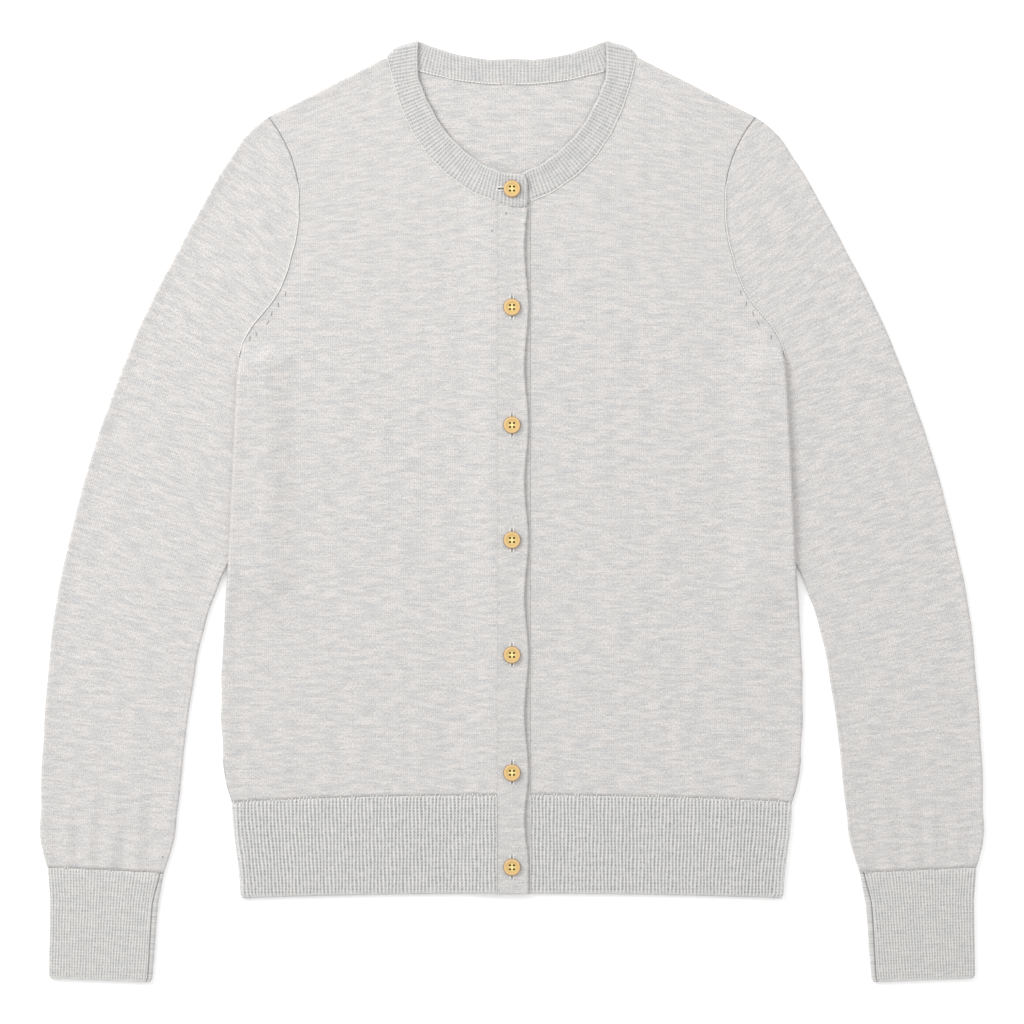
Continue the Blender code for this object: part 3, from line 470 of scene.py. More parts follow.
def soft_lines(plan, rows):
    """Height of soft ridges and troughs at given places: bell-shaped across, fading at both ends.

    Each row gives a line's middle x and y, its angle, length, width and height, and how far its
    ends bend aside. A trough has a negative height.
    """
    height = np.zeros(plan.shape[:2])
    for x, y, angle, length, width, rise, bend in rows:
        turn = np.radians(angle)
        dx, dy = plan[..., 0] - x, plan[..., 1] - y
        share = (dx * np.cos(turn) + dy * np.sin(turn)) / (0.5 * length)
        off = (dy * np.cos(turn) - dx * np.sin(turn) - bend * share ** 2) / width
        height += rise * np.exp(-off ** 2) * np.clip(1.0 - share ** 2, 0.0, 1.0) ** 2
    return height


def flutes(rows, seam, way):
    """The soft lines of flutes: each runs square to a gathered seam and dies away from it."""
    return [(place, seam + way * FLUTE_MIDDLE * length, 90, FLUTE_STRETCH * length, width, height, 0.0)
            for place, length, width, height in rows]


def bell(value, middle, width, height=1.0):
    """A bell: its height times e to the power of minus ((value - middle) / width) squared."""
    return height * np.exp(-((value - middle) / width) ** 2)


def armhole_relief(y, from_seam, tip):
    """Height beside the armhole seam: a groove above, and below it a low ridge on each side. Both
    are bell-shaped, and die away towards the shoulder tip, this far off."""
    sunk = smoothstep(*GROOVE, y) * smoothstep(0.0, GROOVE_END, tip)
    ridge = bell(from_seam, *SEAM_RIDGE) + bell(from_seam, *SEAM_LINE)
    return ridge * (1 - sunk) - GROOVE_DEPTH * sunk * (1 - ellipse(from_seam, GROOVE_WIDTH))


def make_front(hand, side):
    """One front: its fold turns down along an ellipse at the side and shoulder, its linked edges
    are rounded, and its height adds the lift over the sleeve, the lap and the soft lines."""
    seam = FRONT_SEAM[hand]
    neck_line = smooth_line(line_of(FRONT_NECK))
    neck_line = neck_line[neck_line[:, 0] > seam]
    plan = panel_plan(seam, neck_line)
    depth = np.minimum(away_from(side_fold, plan), away_from(SHOULDER, plan))
    from_tip, from_underarm = (np.linalg.norm(plan - ARM[k], axis=-1) for k in (-1, 0))
    armhole = armhole_relief(plan[..., 1], away_from(ARM[::COARSE], plan), from_tip)
    blunt = smoothstep(0.0, BLUNT_REACH, np.minimum(from_tip, from_underarm))
    neck_edge = NECK_SINK * (1 - ellipse(away_from(neck_line[::NECK_COARSE], plan), NECK_REACH))
    full = FULLNESS * (1 - smoothstep(ROLL, ROLL + FULL_REACH, depth))
    lap = LAP_RISE * (1 - smoothstep(*LAP_REACH, plan[..., 0])) if hand == "right" else 0.0
    signed = plan * [side, 1.0]
    rise = body_lift(plan) + lap + soft_lines(signed, FRONT_LINES[hand] + flutes(HEM_FLUTES, JOIN_Y, 1.0))
    turn = 1 - (1 - ellipse(depth, ROLL)) * blunt
    outer = FRONT_Z + FRONT_THIN + (rise + JERSEY - FRONT_THIN + full) * turn + armhole - neck_edge
    piece = cloth(f"front_panel_{hand}", with_height(signed, outer),
                  with_height(signed, FRONT_Z + rise * turn), knit_place(signed, FRONT_SLANT), jersey)
    body_piece(piece, f"front_{hand}")


for hand, side in HANDS.items():
    make_front(hand, side)

# ---------------------------------------------------------------------------------------------
# The sleeves. Each is one panel knitted to shape, linked into a tube along the underarm and set
# into the armhole, here pressed flat. The inner fold is tucked under the body's side. Its
# courses run across it, and it is gathered a little where the cuff draws it in.

# Sections from the armhole down: outer fold, inner fold, and how much of the armhole's curve
# each one still has.
SLEEVE = table("outer_x outer_y inner_x inner_y bulge", [
    (170.2, 275.6, 188.3, 116.9, 1.0), (182.0, 266.7, 188.8, 111.0, 0.60),
    (195.3, 249.2, 189.6, 104.5, 0.36), (216.3, 214.2, 187.8, 96.0, 0.16),
    (235.2, 179.2, 182.0, 82.0, 0.06), (253.4, 144.2, 177.6, 62.0, 0.0),
    (268.8, 109.2, 176.4, 40.0, 0.0), (282.1, 74.2, 177.2, 15.0, 0.0),
    (294.0, 39.2, 184.5, -12.0, 0.0), (303.8, 4.2, 197.3, -35.0, 0.0),
    (312.2, -30.8, 207.0, -57.0, 0.0), (319.2, -65.8, 216.0, -85.0, 0.0),
    (324.2, -110.0, 222.9, -121.0, 0.0), (327.8, -158.0, 229.4, -167.0, 0.0),
    (329.4, -205.8, 234.2, -211.0, 0.0), (327.6, -240.8, 240.2, -243.5, 0.0),
    (325.0, -249.24, 243.5, -253.24, 0.0),
])
# Line that the sleeve's courses lie square to. It leans in towards the armhole, because the head
# of the sleeve was knitted at a slant to the body.
SLEEVE_AXIS = np.array([
    (115.0, 262.0), (150.0, 212.0), (176.0, 174.0), (198.0, 139.0), (216.0, 100.0), (232.0, 45.0),
    (251.0, -15.0), (267.0, -75.0), (277.0, -140.0), (282.0, -208.0), (284.0, -262.0),
])
HEAD_ROWS = 0.35          # the first rows fan out along the armhole, so they start this much closer
SEAM_DIP = (2.6, 0.5, -0.45)  # bell of the underarm seam: distance from the inner fold, width, height
HEAD_FLAT = 12.0          # the soft lines start this far from the armhole
UNDER_LINES = 0.3         # share of the soft lines' height that shows on the underside
SLEEVE_MOVED = 600.0
# Soft lines in the sleeve's own knitting: across from the middle, down from the armhole's
# middle, angle, length, width, height, bend.
SLEEVE_LINES = {
    "right": [
        (-24, 46, 14, 60, 3.6, 0.30, 3), (-30, 66, 20, 70, 4.0, -0.24, 4),
        (-22, 88, 12, 78, 4.4, 0.30, 3), (-26, 112, 8, 64, 3.4, 0.26, 2),
        (-10, 132, 5, 84, 4.4, -0.20, -3), (-22, 152, 4, 60, 3.6, 0.30, 2),
        (-8, 176, -4, 76, 4.2, 0.22, 3), (-28, 198, 3, 46, 3.0, 0.28, 1),
        (0, 228, -5, 70, 4.6, -0.18, 2), (-14, 262, 3, 66, 4.0, 0.20, -2),
        (10, 300, 6, 58, 4.0, 0.18, 2), (-12, 336, -4, 60, 3.8, 0.16, -2),
        (14, 18, -24, 52, 3.0, 0.22, 2), (24, 60, -20, 40, 2.6, 0.14, 1),
        (-6, 24, -8, 40, 2.6, 0.18, 1), (8, 380, 3, 56, 3.4, 0.14, 1),
        (-8, 420, -3, 50, 3.4, 0.14, 1),
    ],
    "left": [
        (-22, 50, 16, 64, 3.8, 0.30, 3), (-28, 74, 18, 66, 3.8, -0.22, 3),
        (-24, 96, 10, 72, 4.2, 0.32, 2), (-18, 124, 6, 70, 3.8, 0.24, -2),
        (-24, 144, 6, 58, 3.4, -0.22, 2), (-12, 166, -3, 78, 4.4, 0.28, 3),
        (-26, 190, 5, 52, 3.2, 0.26, 1), (-4, 216, -4, 74, 4.4, 0.18, -2),
        (6, 250, 4, 62, 4.2, -0.18, 2), (-16, 284, -2, 60, 3.8, 0.20, 1),
        (4, 322, 5, 62, 4.0, 0.16, -2), (10, 14, -22, 56, 3.2, 0.22, 2),
        (26, 54, -18, 42, 2.6, 0.16, 1), (-8, 362, 4, 54, 3.4, 0.16, 1),
        (10, 404, -4, 52, 3.2, 0.14, 1),
    ],
}
# Flutes above the cuff: across from the middle, length, width, height.
CUFF_FLUTES = [
    (-37, 40, 2.2, 0.5), (-29, 62, 2.6, -0.5), (-21, 78, 3.0, 0.65), (-12, 46, 2.2, -0.6),
    (-4, 84, 3.2, 0.6), (5, 52, 2.4, -0.6), (12, 70, 2.8, 0.7), (21, 44, 2.2, -0.5),
    (28, 80, 3.0, 0.6), (36, 38, 2.0, -0.4),
]


def left_normals(line):
    """Unit normals to the left of a line, at each of its points."""
    run = np.gradient(line, axis=0)
    normal = np.column_stack([-run[:, 1], run[:, 0]])
    return normal / np.linalg.norm(normal, axis=1, keepdims=True)


def pressed_tube(front, at, width, wall, above, below, blunt=1.0):
    """Outer and inner grids of a tube pressed flat, from the plan of its front layer.

    Each layer turns into the fold along an ellipse, up to its own relief above or below. The
    wall's inner face keeps one thickness inside it, and meets the other layer at mid-height.
    """
    depth = np.minimum(at, width - at)
    turn = 1 - (1 - ellipse(depth, ROLL)) * blunt
    middle = wall + GAP / 2
    top = middle + (middle + above) * turn
    bottom = middle * (1 - turn) + below * turn
    across = front[:, -1] - front[:, 0]
    across = (across / np.linalg.norm(across, axis=1, keepdims=True))[:, None]
    nearer = np.where(at < width / 2, 1.0, -1.0)
    inner_plan = front + across * (nearer * wall * (1 - smoothstep(0, 3 * wall, depth)))[..., None]
    top_in = np.maximum(top - wall, middle + 2 * LINKED * turn)
    bottom_in = np.minimum(bottom + wall, middle - 2 * LINKED * turn)
    return [np.concatenate([with_height(plan, up), with_height(plan, down)[:, -2:0:-1]], axis=1)
            for plan, up, down in ((front, top, bottom), (inner_plan, top_in, bottom_in))]


def square_to(axis, points):
    """Where points lie from a curve: how far aside, and how far along it its nearest place is."""
    nearest, place = np.full(points.shape[:-1], np.inf), np.zeros(points.shape)
    for start, end, reached in zip(axis[:-1], axis[1:], lengths(axis)):
        length = np.linalg.norm(end - start)
        run = (end - start) / length
        off = points - start
        along = np.clip(off @ run, 0.0, length)
        distance = np.linalg.norm(off - along[..., None] * run, axis=-1)
        aside = off[..., 0] * run[1] - off[..., 1] * run[0]
        closer = distance < nearest
        place[closer] = np.stack([aside, reached + along], axis=-1)[closer]
        nearest = np.minimum(nearest, distance)
    return place


def ring_place(front, shift):
    """Knit map of a pressed tube: its front's map, on round the outer fold and back behind it."""
    u, v = front[..., 0], front[..., 1]
    u = np.concatenate([u, (2 * u[:, -1:] - u)[:, -2::-1]], axis=1)
    return np.dstack([u + shift, np.concatenate([v, v[:, -2::-1]], axis=1)])


def make_sleeve(hand, side):
    """One sleeve: sections read along smooth curves of its two folds, with the armhole's curve
    dying out of them, and its relief read from the listed lines in its own knitting."""
    table_at = lengths(np.column_stack([SLEEVE["outer_x"] + SLEEVE["inner_x"],
                                        SLEEVE["outer_y"] + SLEEVE["inner_y"]]) / 2)
    near = HEAD_ROWS * np.array(NEAR_EDGE)
    down = np.append(near, np.linspace(near[-1], table_at[-1], int(table_at[-1] / CELL))[1:])
    ox, oy, ix, iy, bulge = (spline(table_at, SLEEVE[key], down) for key in SLEEVE)
    bulge = np.clip(bulge, 0.0, 1.0)[:, None, None]
    inner_end, outer_end = np.column_stack([ix, iy]), np.column_stack([ox, oy])
    width = np.linalg.norm(outer_end - inner_end, axis=1)[:, None]
    middle = int(width.max() / CELL)
    at = np.array([stations(w, middle) for w in width[:, 0]])
    share = (at / width)[..., None]
    seam = ARM - 2 * LINKED * left_normals(ARM)
    bend = np.array([walk(seam, s * lengths(seam)[-1]) for s in share[..., 0]])
    bend -= ARM[0] + (ARM[-1] - ARM[0]) * share
    front = inner_end[:, None] + (outer_end - inner_end)[:, None] * share + bend * bulge
    along = down[:, None]
    knit = np.dstack([at - width / 2, np.broadcast_to(along, at.shape)])
    lines = soft_lines(knit, SLEEVE_LINES[hand] + flutes(CUFF_FLUTES, down[-1], -1.0))
    depth = np.minimum(at, width - at)
    full = FULLNESS * (1 - smoothstep(ROLL, ROLL + FULL_REACH, depth))
    from_arm = away_from(ARM[::COARSE], front)
    armhole = armhole_relief(front[..., 1], from_arm, np.linalg.norm(front - ARM[-1], axis=-1))
    above = (full + lines + bell(at, *SEAM_DIP)) * smoothstep(0.0, HEAD_FLAT, from_arm) + armhole
    outer, inner = pressed_tube(front, at, width, JERSEY, above, np.abs(lines) * UNDER_LINES,
                                smoothstep(0.0, BLUNT_REACH, along))
    flip = [side, 1.0, 1.0]
    courses = square_to(smooth_line(SLEEVE_AXIS, 120), front)
    piece = cloth(f"sleeve_tube_{hand}", outer * flip, inner * flip,
                  ring_place(courses, side * SLEEVE_MOVED), jersey, closed=True)
    body_piece(piece, f"sleeve_{hand}")


for hand, side in HANDS.items():
    make_sleeve(hand, side)

# ---------------------------------------------------------------------------------------------
# The hem. A deep band of one-and-one rib in the same yarn, knitted first and the body linked to
# it: two short bands in front and a long one behind, folded at the sides with the body.

RIB = 1.5                 # wall of the ribbed knit under its ridges
RIB_RISE = 0.5            # height of a ridge
RIB_PITCH = 2.5           # ridge to ridge in the knit map, on every ribbed piece
RIB_COURSE = 2.1          # course to course of the rib, as drawn
RIB_CELLS = 8             # mesh cells across a rib
RIB_Z = RIB + GAP         # inner face of the front hem
HEM_RIBS = 72             # ridges across each front of the hem
HEM_Y = -267.6            # lower edge, at the centre line
HEM_DROOP = 3.3           # how far that edge sinks at the side
HEM_HALF = 190.1          # half width at the lower edge
HEM_END = 2.7             # depth of the cast-on edge below the ribs
HEM_ROWS = 15             # even rows between the close ones
JOIN_STEP, JOIN_REACH = 0.5, 4.0  # a rib thins to the plain knit's wall over this reach at its join
# Rows of a hem band as shares of its depth: close at the seam and the foot, even between.
SEAM_ROWS, EVEN_ROWS, FOOT_ROWS = (0.0, 0.006, 0.018, 0.04), (0.08, 0.93), (0.96, 0.98, 0.993, 1.0)
FOLD_COLUMNS = 34         # columns of the ribs that give way to the finer ones beside the fold
HEM_CORNER = 1.4          # how far the lower corner is rounded in
HEM_ROUND = 0.9           # radius of the hem's lower edge and of its ends
FRONT_HEM_THIN, FOOT_RISE = 0.3, 0.4  # wall left at a turned edge, and how far it rises inside
BACK_RIBS = HEM_RIBS + 5  # ridges across each half of the hem behind
SIDE_RISE, WALE_RISE = 1.2, 0.35  # how far the back band rises below at the fold and in a wale
HEM_SEEDS, HEM_MOVED = {"front": 11, "back": 12}, 2000.0
# The ridges rise, and the painted shade of the wales between them starts to show, over these
# distances from the foot, from the seam and from the fold at the side.
FOOT_FADE, SEAM_FADE = (0.3, HEM_END), (-0.6, 1.2)
FOOT_SHOWN, SEAM_SHOWN, SIDE_SHOWN = (0.5, 2.0), (-0.4, 1.2), (1.2, 2.4)
RIB_DRIFT, RIB_PROUD = 0.07, (0.82, 1.1)  # how far a rib drifts, in ribs, and how proud it stands
RIB_WAVER, WAVER_PER_RIB, WAVER_RUN = 0.09, 0.85, 5.5  # the waver along it, and its run in mm


def rib_material(name, base, dark, light, depth):
    """The same heather yarn in rib: the ridges are light and even, and the wales sunk between them
    are painted grey, a painted shade, with a deeper painted shade in the hollow at each course, so
    that the cloth looks greyer than the plain knit. A course is drawn 2.1 mm deep, coarser than the
    real one, so that it shows. The depth sets the strength of that painted shade: 1 where the ridges
    stand well apart, and less where the rib has drawn in."""
    material, tree, shader = start_material(name, KNIT_FINISH)
    place = node(tree, "UVMap", {"uv_map": "knit"}, {})
    colour = heather(tree, place, base, dark, light, streaks=0.5, grain=0.7)
    ridge, course = (node(tree, "Math", {"operation": "MULTIPLY_ADD"}, {0: turn, 1: 0.5, 2: 0.5})
                     for turn in (wave(tree, place, 0, RIB_PITCH), wave(tree, place, 1, RIB_COURSE)))
    # Colour falls towards the middle of each wale: painted shade of the sunk wales.
    wale_shade = node(tree, "ValToRGB", {}, {0: ridge},
                  stops=[(0.0, 1 - 0.3 * depth), (0.4, 1 - 0.22 * depth), (0.8, 1.0)])
    # A deeper painted shade in the hollow at each course within a wale, uneven in patches.
    valley = node(tree, "Math", {"operation": "SUBTRACT"}, {0: 1.0, 1: ridge})
    hollow = node(tree, "Math", {"operation": "MULTIPLY"}, {0: valley, 1: course})
    patches = stretched_noise(tree, place, across=2.2, along=3.4, detail=1.0, seed=6)
    uneven = node(tree, "ValToRGB", {}, {0: patches}, stops=[(0.36, 0.25), (0.6, 1.0)])
    hollow = node(tree, "Math", {"operation": "MULTIPLY"}, {0: hollow, 1: uneven})
    hollow_shade = node(tree, "ValToRGB", {}, {0: hollow}, stops=[(0.1, 1.0), (0.75, 1 - 0.5 * depth)])
    for shade in (wale_shade, hollow_shade):
        colour = node(tree, "Mix", TIMES, {0: 1.0, 6: colour, 7: shade}, output=2)
    fluff = stretched_noise(tree, place, across=0.8, along=1.2, detail=3.0, seed=7)
    height = node(tree, "Math", {"operation": "MULTIPLY_ADD"}, {0: fluff, 1: 4.0, 2: course})
    dress(tree, shader, colour, height, strength=0.4, deep=0.16)
    return material


def ridges(ribs):
    """Height of the rib ridges, 0 to 1, at places counted in ribs: a cosine, eased at both ends."""
    return smoothstep(0.15, 0.9, 0.5 + 0.5 * np.cos(2 * np.pi * ribs))


def uneven_ribs(ribs, along, seed):
    """How far each place drifts along the row, and how proud its ridge is: smooth and uneven. A
    slow sine along the ribs adds to the drift, so that they waver a little."""
    draw = np.random.default_rng(seed)
    knots = np.arange(int(ribs.max() - ribs.min()) + 3) + np.floor(ribs.min())
    drift = np.interp(ribs, knots, draw.uniform(-RIB_DRIFT, RIB_DRIFT, len(knots)))
    proud = np.interp(ribs, knots, draw.uniform(*RIB_PROUD, len(knots)))
    return drift + RIB_WAVER * np.sin(WAVER_PER_RIB * ribs + along / WAVER_RUN), proud


def in_the_rib(ribs, shown):
    """Knit map across the ribs, in millimetres. Where shown is 0 every point takes the place of the
    nearest ridge, so that the painted shade of the wales does not show, as at a fold or a cast-on edge."""
    ridge = np.round(ribs)
    return (ridge + (ribs - ridge) * shown) * RIB_PITCH


def hem_plan(inner_x, count, cells):
    """Plan grid of half a hem band, its rows narrowing and drooping from the seam to the foot."""
    half = BODY_SIDE["half"][0]
    near = half - np.array(NEAR_EDGE)
    x = np.concatenate([np.linspace(inner_x, near[-1], count * cells - FOLD_COLUMNS)[:-1], near[::-1]])
    share = x / half
    top = JOIN_Y - JOIN_DROOP * share ** 2 - LINKED
    foot = HEM_Y - HEM_DROOP * share ** 2
    down = np.concatenate([SEAM_ROWS, np.linspace(*EVEN_ROWS, HEM_ROWS), FOOT_ROWS])[:, None]
    narrow = (half - HEM_HALF) * share ** 3 * smoothstep(0.0, 1.0, down)
    y = top + (foot - top) * down
    corner = HEM_CORNER * share ** 15 * smoothstep(0.95, 1.0, down)
    return np.dstack([x - narrow - corner, y]), np.broadcast_to(x, y.shape), y - foot


def hem_relief(x, foot_height, top_height, ribs, inner_x, seed):
    """Ridges of a hem band: uneven, sinking into the seam above and the cast-on edge below."""
    depth = BODY_SIDE["half"][0] - x
    count = (x - inner_x) / (BODY_SIDE["half"][0] - inner_x) * ribs
    drift, proud = uneven_ribs(count, foot_height, seed)
    fade = smoothstep(*FOOT_FADE, foot_height) * smoothstep(*SEAM_FADE, top_height)
    shown = smoothstep(*FOOT_SHOWN, foot_height) * smoothstep(*SEAM_SHOWN, top_height)
    shown = shown * smoothstep(*SIDE_SHOWN, depth)
    return ridges(count + drift) * proud * fade, in_the_rib(count + drift, shown)


rib = rib_material("heather_rib", "#E0E0DE", "#DCDCDC", "#E4E2E0", 0.85)
drawn_rib = rib_material("drawn_in_rib", "#DEDDDB", "#D9D9D9", "#E3E1DE", 0.6)
for hand, side in HANDS.items():
    seam = FRONT_SEAM[hand]
    plan, x, foot_height = hem_plan(seam, HEM_RIBS, RIB_CELLS)
    top_height = plan[0, :, 1] - plan[..., 1]
    relief, across = hem_relief(x, foot_height, top_height, HEM_RIBS, seam, HEM_SEEDS["front"])
    turn = ellipse(BODY_SIDE["half"][0] - x, ROLL)
    lap = (LAP_RISE - GAP) * (1 - smoothstep(*LAP_REACH, x)) if hand == "right" else 0.0 * x
    edge = ellipse(foot_height, HEM_ROUND) * ellipse(x - seam + 0.6, HEM_ROUND)
    meet = JOIN_STEP * (1 - smoothstep(0.0, JOIN_REACH, top_height))
    wall = (RIB - FRONT_HEM_THIN) * edge - meet + RIB_RISE * relief
    outer = RIB_Z + lap + FRONT_HEM_THIN + wall * turn
    inner = RIB_Z + lap + FOOT_RISE * (1 - ellipse(foot_height, HEM_ROUND))
    signed = plan * [side, 1.0]
    piece = cloth(f"hem_band_{hand}", with_height(signed, outer), with_height(signed, inner),
                  np.dstack([side * across, plan[..., 1]]), rib)
    body_piece(piece, f"hem_front_{hand}")

half_plan, x, foot_height = hem_plan(0.0, BACK_RIBS, RIB_CELLS // 2)
top_height = half_plan[0, :, 1] - half_plan[..., 1]
relief, across = hem_relief(x, foot_height, top_height, BACK_RIBS, 0.0, HEM_SEEDS["back"])
foot_rise = FOOT_RISE * (1 - ellipse(foot_height, HEM_ROUND))
turn = 1 - ellipse(BODY_SIDE["half"][0] - x, ROLL)
under = np.maximum(foot_rise, SIDE_RISE * turn) + WALE_RISE * (1 - relief) * (1 - turn)
plan, under, foot_rise = (np.concatenate([grid[:, :0:-1] * flip, grid], axis=1) for grid, flip in (
    (half_plan, np.array([-1.0, 1.0])), (under, 1.0), (foot_rise, 1.0)))
place = np.concatenate([-across[:, :0:-1], across], axis=1) + HEM_MOVED
piece = cloth("hem_band_back", with_height(plan, RIB - foot_rise), with_height(plan, under),
              np.dstack([place, plan[..., 1]]), rib)
body_piece(piece, "hem_back")

# ---------------------------------------------------------------------------------------------
# The cuffs. Tubes of the same rib, knitted first and linked to the sleeve, closed along the
# underarm seam with it, and pressed flat here. They have drawn in more than the hem.

CUFF = table("outer_x outer_y inner_x inner_y", [
    (325.0, -249.3, 243.5, -253.3), (323.2, -272.0, 247.6, -275.0),
    (324.0, -324.6, 251.6, -327.2), (322.8, -327.0, 253.0, -329.6),
])
CUFF_RIBS = 38            # ridges across one side
CUFF_RISE = 0.35          # height of a cuff's ridge
CUFF_SEAM = 4.0           # underarm seam's distance from the inner fold, at its most
# Rows beside a cuff's seam and its foot, and columns beside its folds, as shares of its width.
CUFF_TOP_ROWS, CUFF_FOOT_ROWS = (0.0, 0.4, 1.2, 2.6), (2.4, 1.2, 0.5, 0.15, 0.0)
CUFF_EVEN_ROWS = (5.0, 4.0, 16)  # from the seam, from the foot, and how many between
CUFF_FOLD_COLUMNS = (0.0, 0.004, 0.012, 0.022)
SEAM_WIDTH, SEAM_DEPTH, SEAM_BESIDE = 0.45, 0.9, 1.3  # half width, depth and flat strip beside it
SEAM_BEND = (22.0, 30.0)  # the seam leans out down to the first of these depths, and in again past
CUFF_SEAM_FADE, CUFF_FOOT_FADE, CUFF_FOOT_SHOWN = (-0.6, 1.4), (0.2, HEM_END), (0.4, 1.8)
STRIP_RISE = 0.7          # height of the flat strip beside the seam, as a share of a ridge
STRIP_TONE, SEAM_TONE = 0.24, 0.5  # their places in the rib's map: 0 is a ridge, 0.5 the middle of a wale, where its painted shade is deepest
FOOT_ABOVE, FOOT_BELOW = 0.6, 0.5  # how far the cast-on edge is rounded off above and below
CUFF_SEEDS, CUFF_MOVED = {"right": 21, "left": 22}, 400.0


def make_cuff(hand, side):
    """One cuff: straight sections between its two folds, ridged on both of its sides. Gives the
    line of its seam back, for the loops along it."""
    folds = line_of(CUFF)
    knots = np.append(0.0, np.cumsum(np.abs(np.diff(folds[:, 1]))))
    foot = knots[-1]
    start, stop, count = CUFF_EVEN_ROWS
    down = np.concatenate([CUFF_TOP_ROWS, np.linspace(start, foot - stop, count),
                           foot - np.array(CUFF_FOOT_ROWS)])
    ends = np.column_stack([np.interp(down, knots, column) for column in folds.T])
    outer_end, inner_end = ends[:, :2], ends[:, 2:]
    width = np.linalg.norm(outer_end - inner_end, axis=1)[:, None]
    *beside_fold, first = CUFF_FOLD_COLUMNS
    share = np.concatenate([beside_fold, np.linspace(first, 1 - first, CUFF_RIBS * RIB_CELLS),
                            1 - np.array(beside_fold[::-1])])
    front = inner_end[:, None] + (outer_end - inner_end)[:, None] * share[None, :, None]
    at = share * width
    count = np.broadcast_to(share * CUFF_RIBS, at.shape)
    rise, below = down[:, None], (foot - down)[:, None]
    drift, proud = uneven_ribs(count, rise, CUFF_SEEDS[hand])
    fade = smoothstep(*CUFF_SEAM_FADE, rise) * smoothstep(*CUFF_FOOT_FADE, below)
    relief = ridges(count + drift) * proud * fade
    lean = 0.7 + 0.3 * smoothstep(0.0, SEAM_BEND[0], rise) - 0.2 * smoothstep(SEAM_BEND[1], foot, rise)
    seam_at = CUFF_SEAM * lean
    line = bell(at, seam_at, SEAM_WIDTH)
    beside = at < seam_at + SEAM_BESIDE
    relief = np.where(beside, STRIP_RISE * fade, relief)
    round_off = 1 - ellipse(below, HEM_ROUND)
    meet = JOIN_STEP * (1 - smoothstep(0.0, JOIN_REACH, rise))
    above = CUFF_RISE * relief - SEAM_DEPTH * line - FOOT_ABOVE * round_off - meet
    under = WALE_RISE * (1 - relief) + FOOT_BELOW * round_off
    outer, inner = pressed_tube(front, at, width, RIB, above, under)
    flip = [side, 1.0, 1.0]
    shown = smoothstep(*CUFF_FOOT_SHOWN, below) * smoothstep(*SEAM_SHOWN, rise)
    # The seam line takes the wale's full painted shade, the cloth inside it a little of it, and the strip
    # outside it none.
    strip = RIB_PITCH * (SEAM_TONE * line + STRIP_TONE * (1 - line) * (at < seam_at))
    across = np.where(beside, strip, in_the_rib(count + drift, shown))
    knit = np.dstack([across, np.broadcast_to(-rise, at.shape)])
    piece = cloth(f"cuff_tube_{hand}", outer * flip, inner * flip, ring_place(knit, side * CUFF_MOVED),
                  drawn_rib, closed=True)
    body_piece(piece, f"cuff_{hand}")
    return (inner_end + (outer_end - inner_end) * seam_at / width)[:-3]


cuff_seams = {hand: make_cuff(hand, side) for hand, side in HANDS.items()}

# ---------------------------------------------------------------------------------------------
# The neckband. One strip of the rib, linked round the neck and folded over with the shoulders:
# its outer face is up in front and its inner face behind. Its right end laps over its left.

NECKBAND = table("free_x free_y seam_x seam_y roll", [
    (0.0, 236.0, 0.0, 213.0, 90), (12.4, 239.2, 17.5, 218.7, 90), (26.2, 246.8, 37.5, 229.9, 90),
    (37.4, 256.2, 51.6, 241.6, 90), (47.6, 267.4, 63.6, 256.4, 90), (56.0, 281.4, 73.2, 273.3, 90),
    (62.7, 296.1, 79.8, 289.8, 90), (65.8, 308.7, 84.2, 305.4, 90), (65.3, 328.15, 86.7, 316.4, 90),
    (65.3, 328.15, 86.7, 316.4, 0), (65.3, 328.15, 86.7, 316.4, -90),
    (63.0, 327.7, 78.5, 311.9, -90), (58.5, 326.0, 66.2, 308.4, -90),
    (49.5, 322.9, 52.0, 304.9, -90), (30.0, 317.9, 30.0, 300.6, -90),
    (0.0, 316.4, 0.0, 298.6, -90),
])
BAND_ENDS = {             # beyond the centre front, from the end in
    "right": [(-10.9, 229.5, -10.6, 213.4, 90), (-9.4, 233.6, -9.4, 212.8, 90),
              (-6.3, 235.3, -6.3, 212.6, 90)],
    "left": [(-9.1, 237.0, -9.1, 213.6, 90)],
}
LAST_RIB = 7              # row of that table beyond which the ribs keep their slant
FOLD_ROW = 8              # row of that table where the fold over the shoulder starts
FOLD_BULGE, FOLD_SPREAD = 2.8, 6.0  # how far the folded band stands out, and over what reach
FOLD_PLAIN = 2.4          # the ribs die away this near the fold
SLANT_PAST = -20.0        # and keep their slant only this far out from the centre line
NECK_PITCH = 2.45         # ridge to ridge along the strip's middle
NECK_RISE = 0.24          # height of the neckband's ridge
NECK_ROWS = (0.0, 0.15, 0.4, 0.8, 1.3, 2.0, 2.9)  # rows beside each edge of the strip
NECK_MIDDLE_ROWS = 13     # even rows between them
FREE_STAND = 0.9          # how far the strip's free edge stands up from the neck
CROSS_LINES = ((2.0, 0.8), (4.6, 0.9), (9.5, 0.5), (14.8, 0.7))  # from the seam, how strong
CROSS_WIDTH, CROSS_RISE = 0.5, 0.75  # half width and height of those lines
NECK_MEET = 2.5           # reach of the thinning at the seam
STAND_REACH = 9.0         # how far in from the free edge it stands up
FREE_FADE, NECK_SEAM_FADE = (0.5, 1.8), (-0.2, 0.8)  # the ridges rise over these distances
FREE_SHOWN, NECK_SEAM_SHOWN = (0.4, 1.6), (-0.3, 0.8)  # and the painted shade of the wales shows over these
FACE_TURN = (60.0, 90.0)  # the strip lies flat from between these angles of its fold on
NECK_SEED, NECK_MOVED = 31, (4000.0, 0.0)
NECK_SLIT = (-9.8, 4.9)   # ends of the level buttonhole
NECK_SLIT_SIZE = (0.8, 6.0)  # its width and the height of its cutter
BUTTON_Y = (225.3, 142.5, 60.1, -20.3, -100.6, -183.0, -249.0)


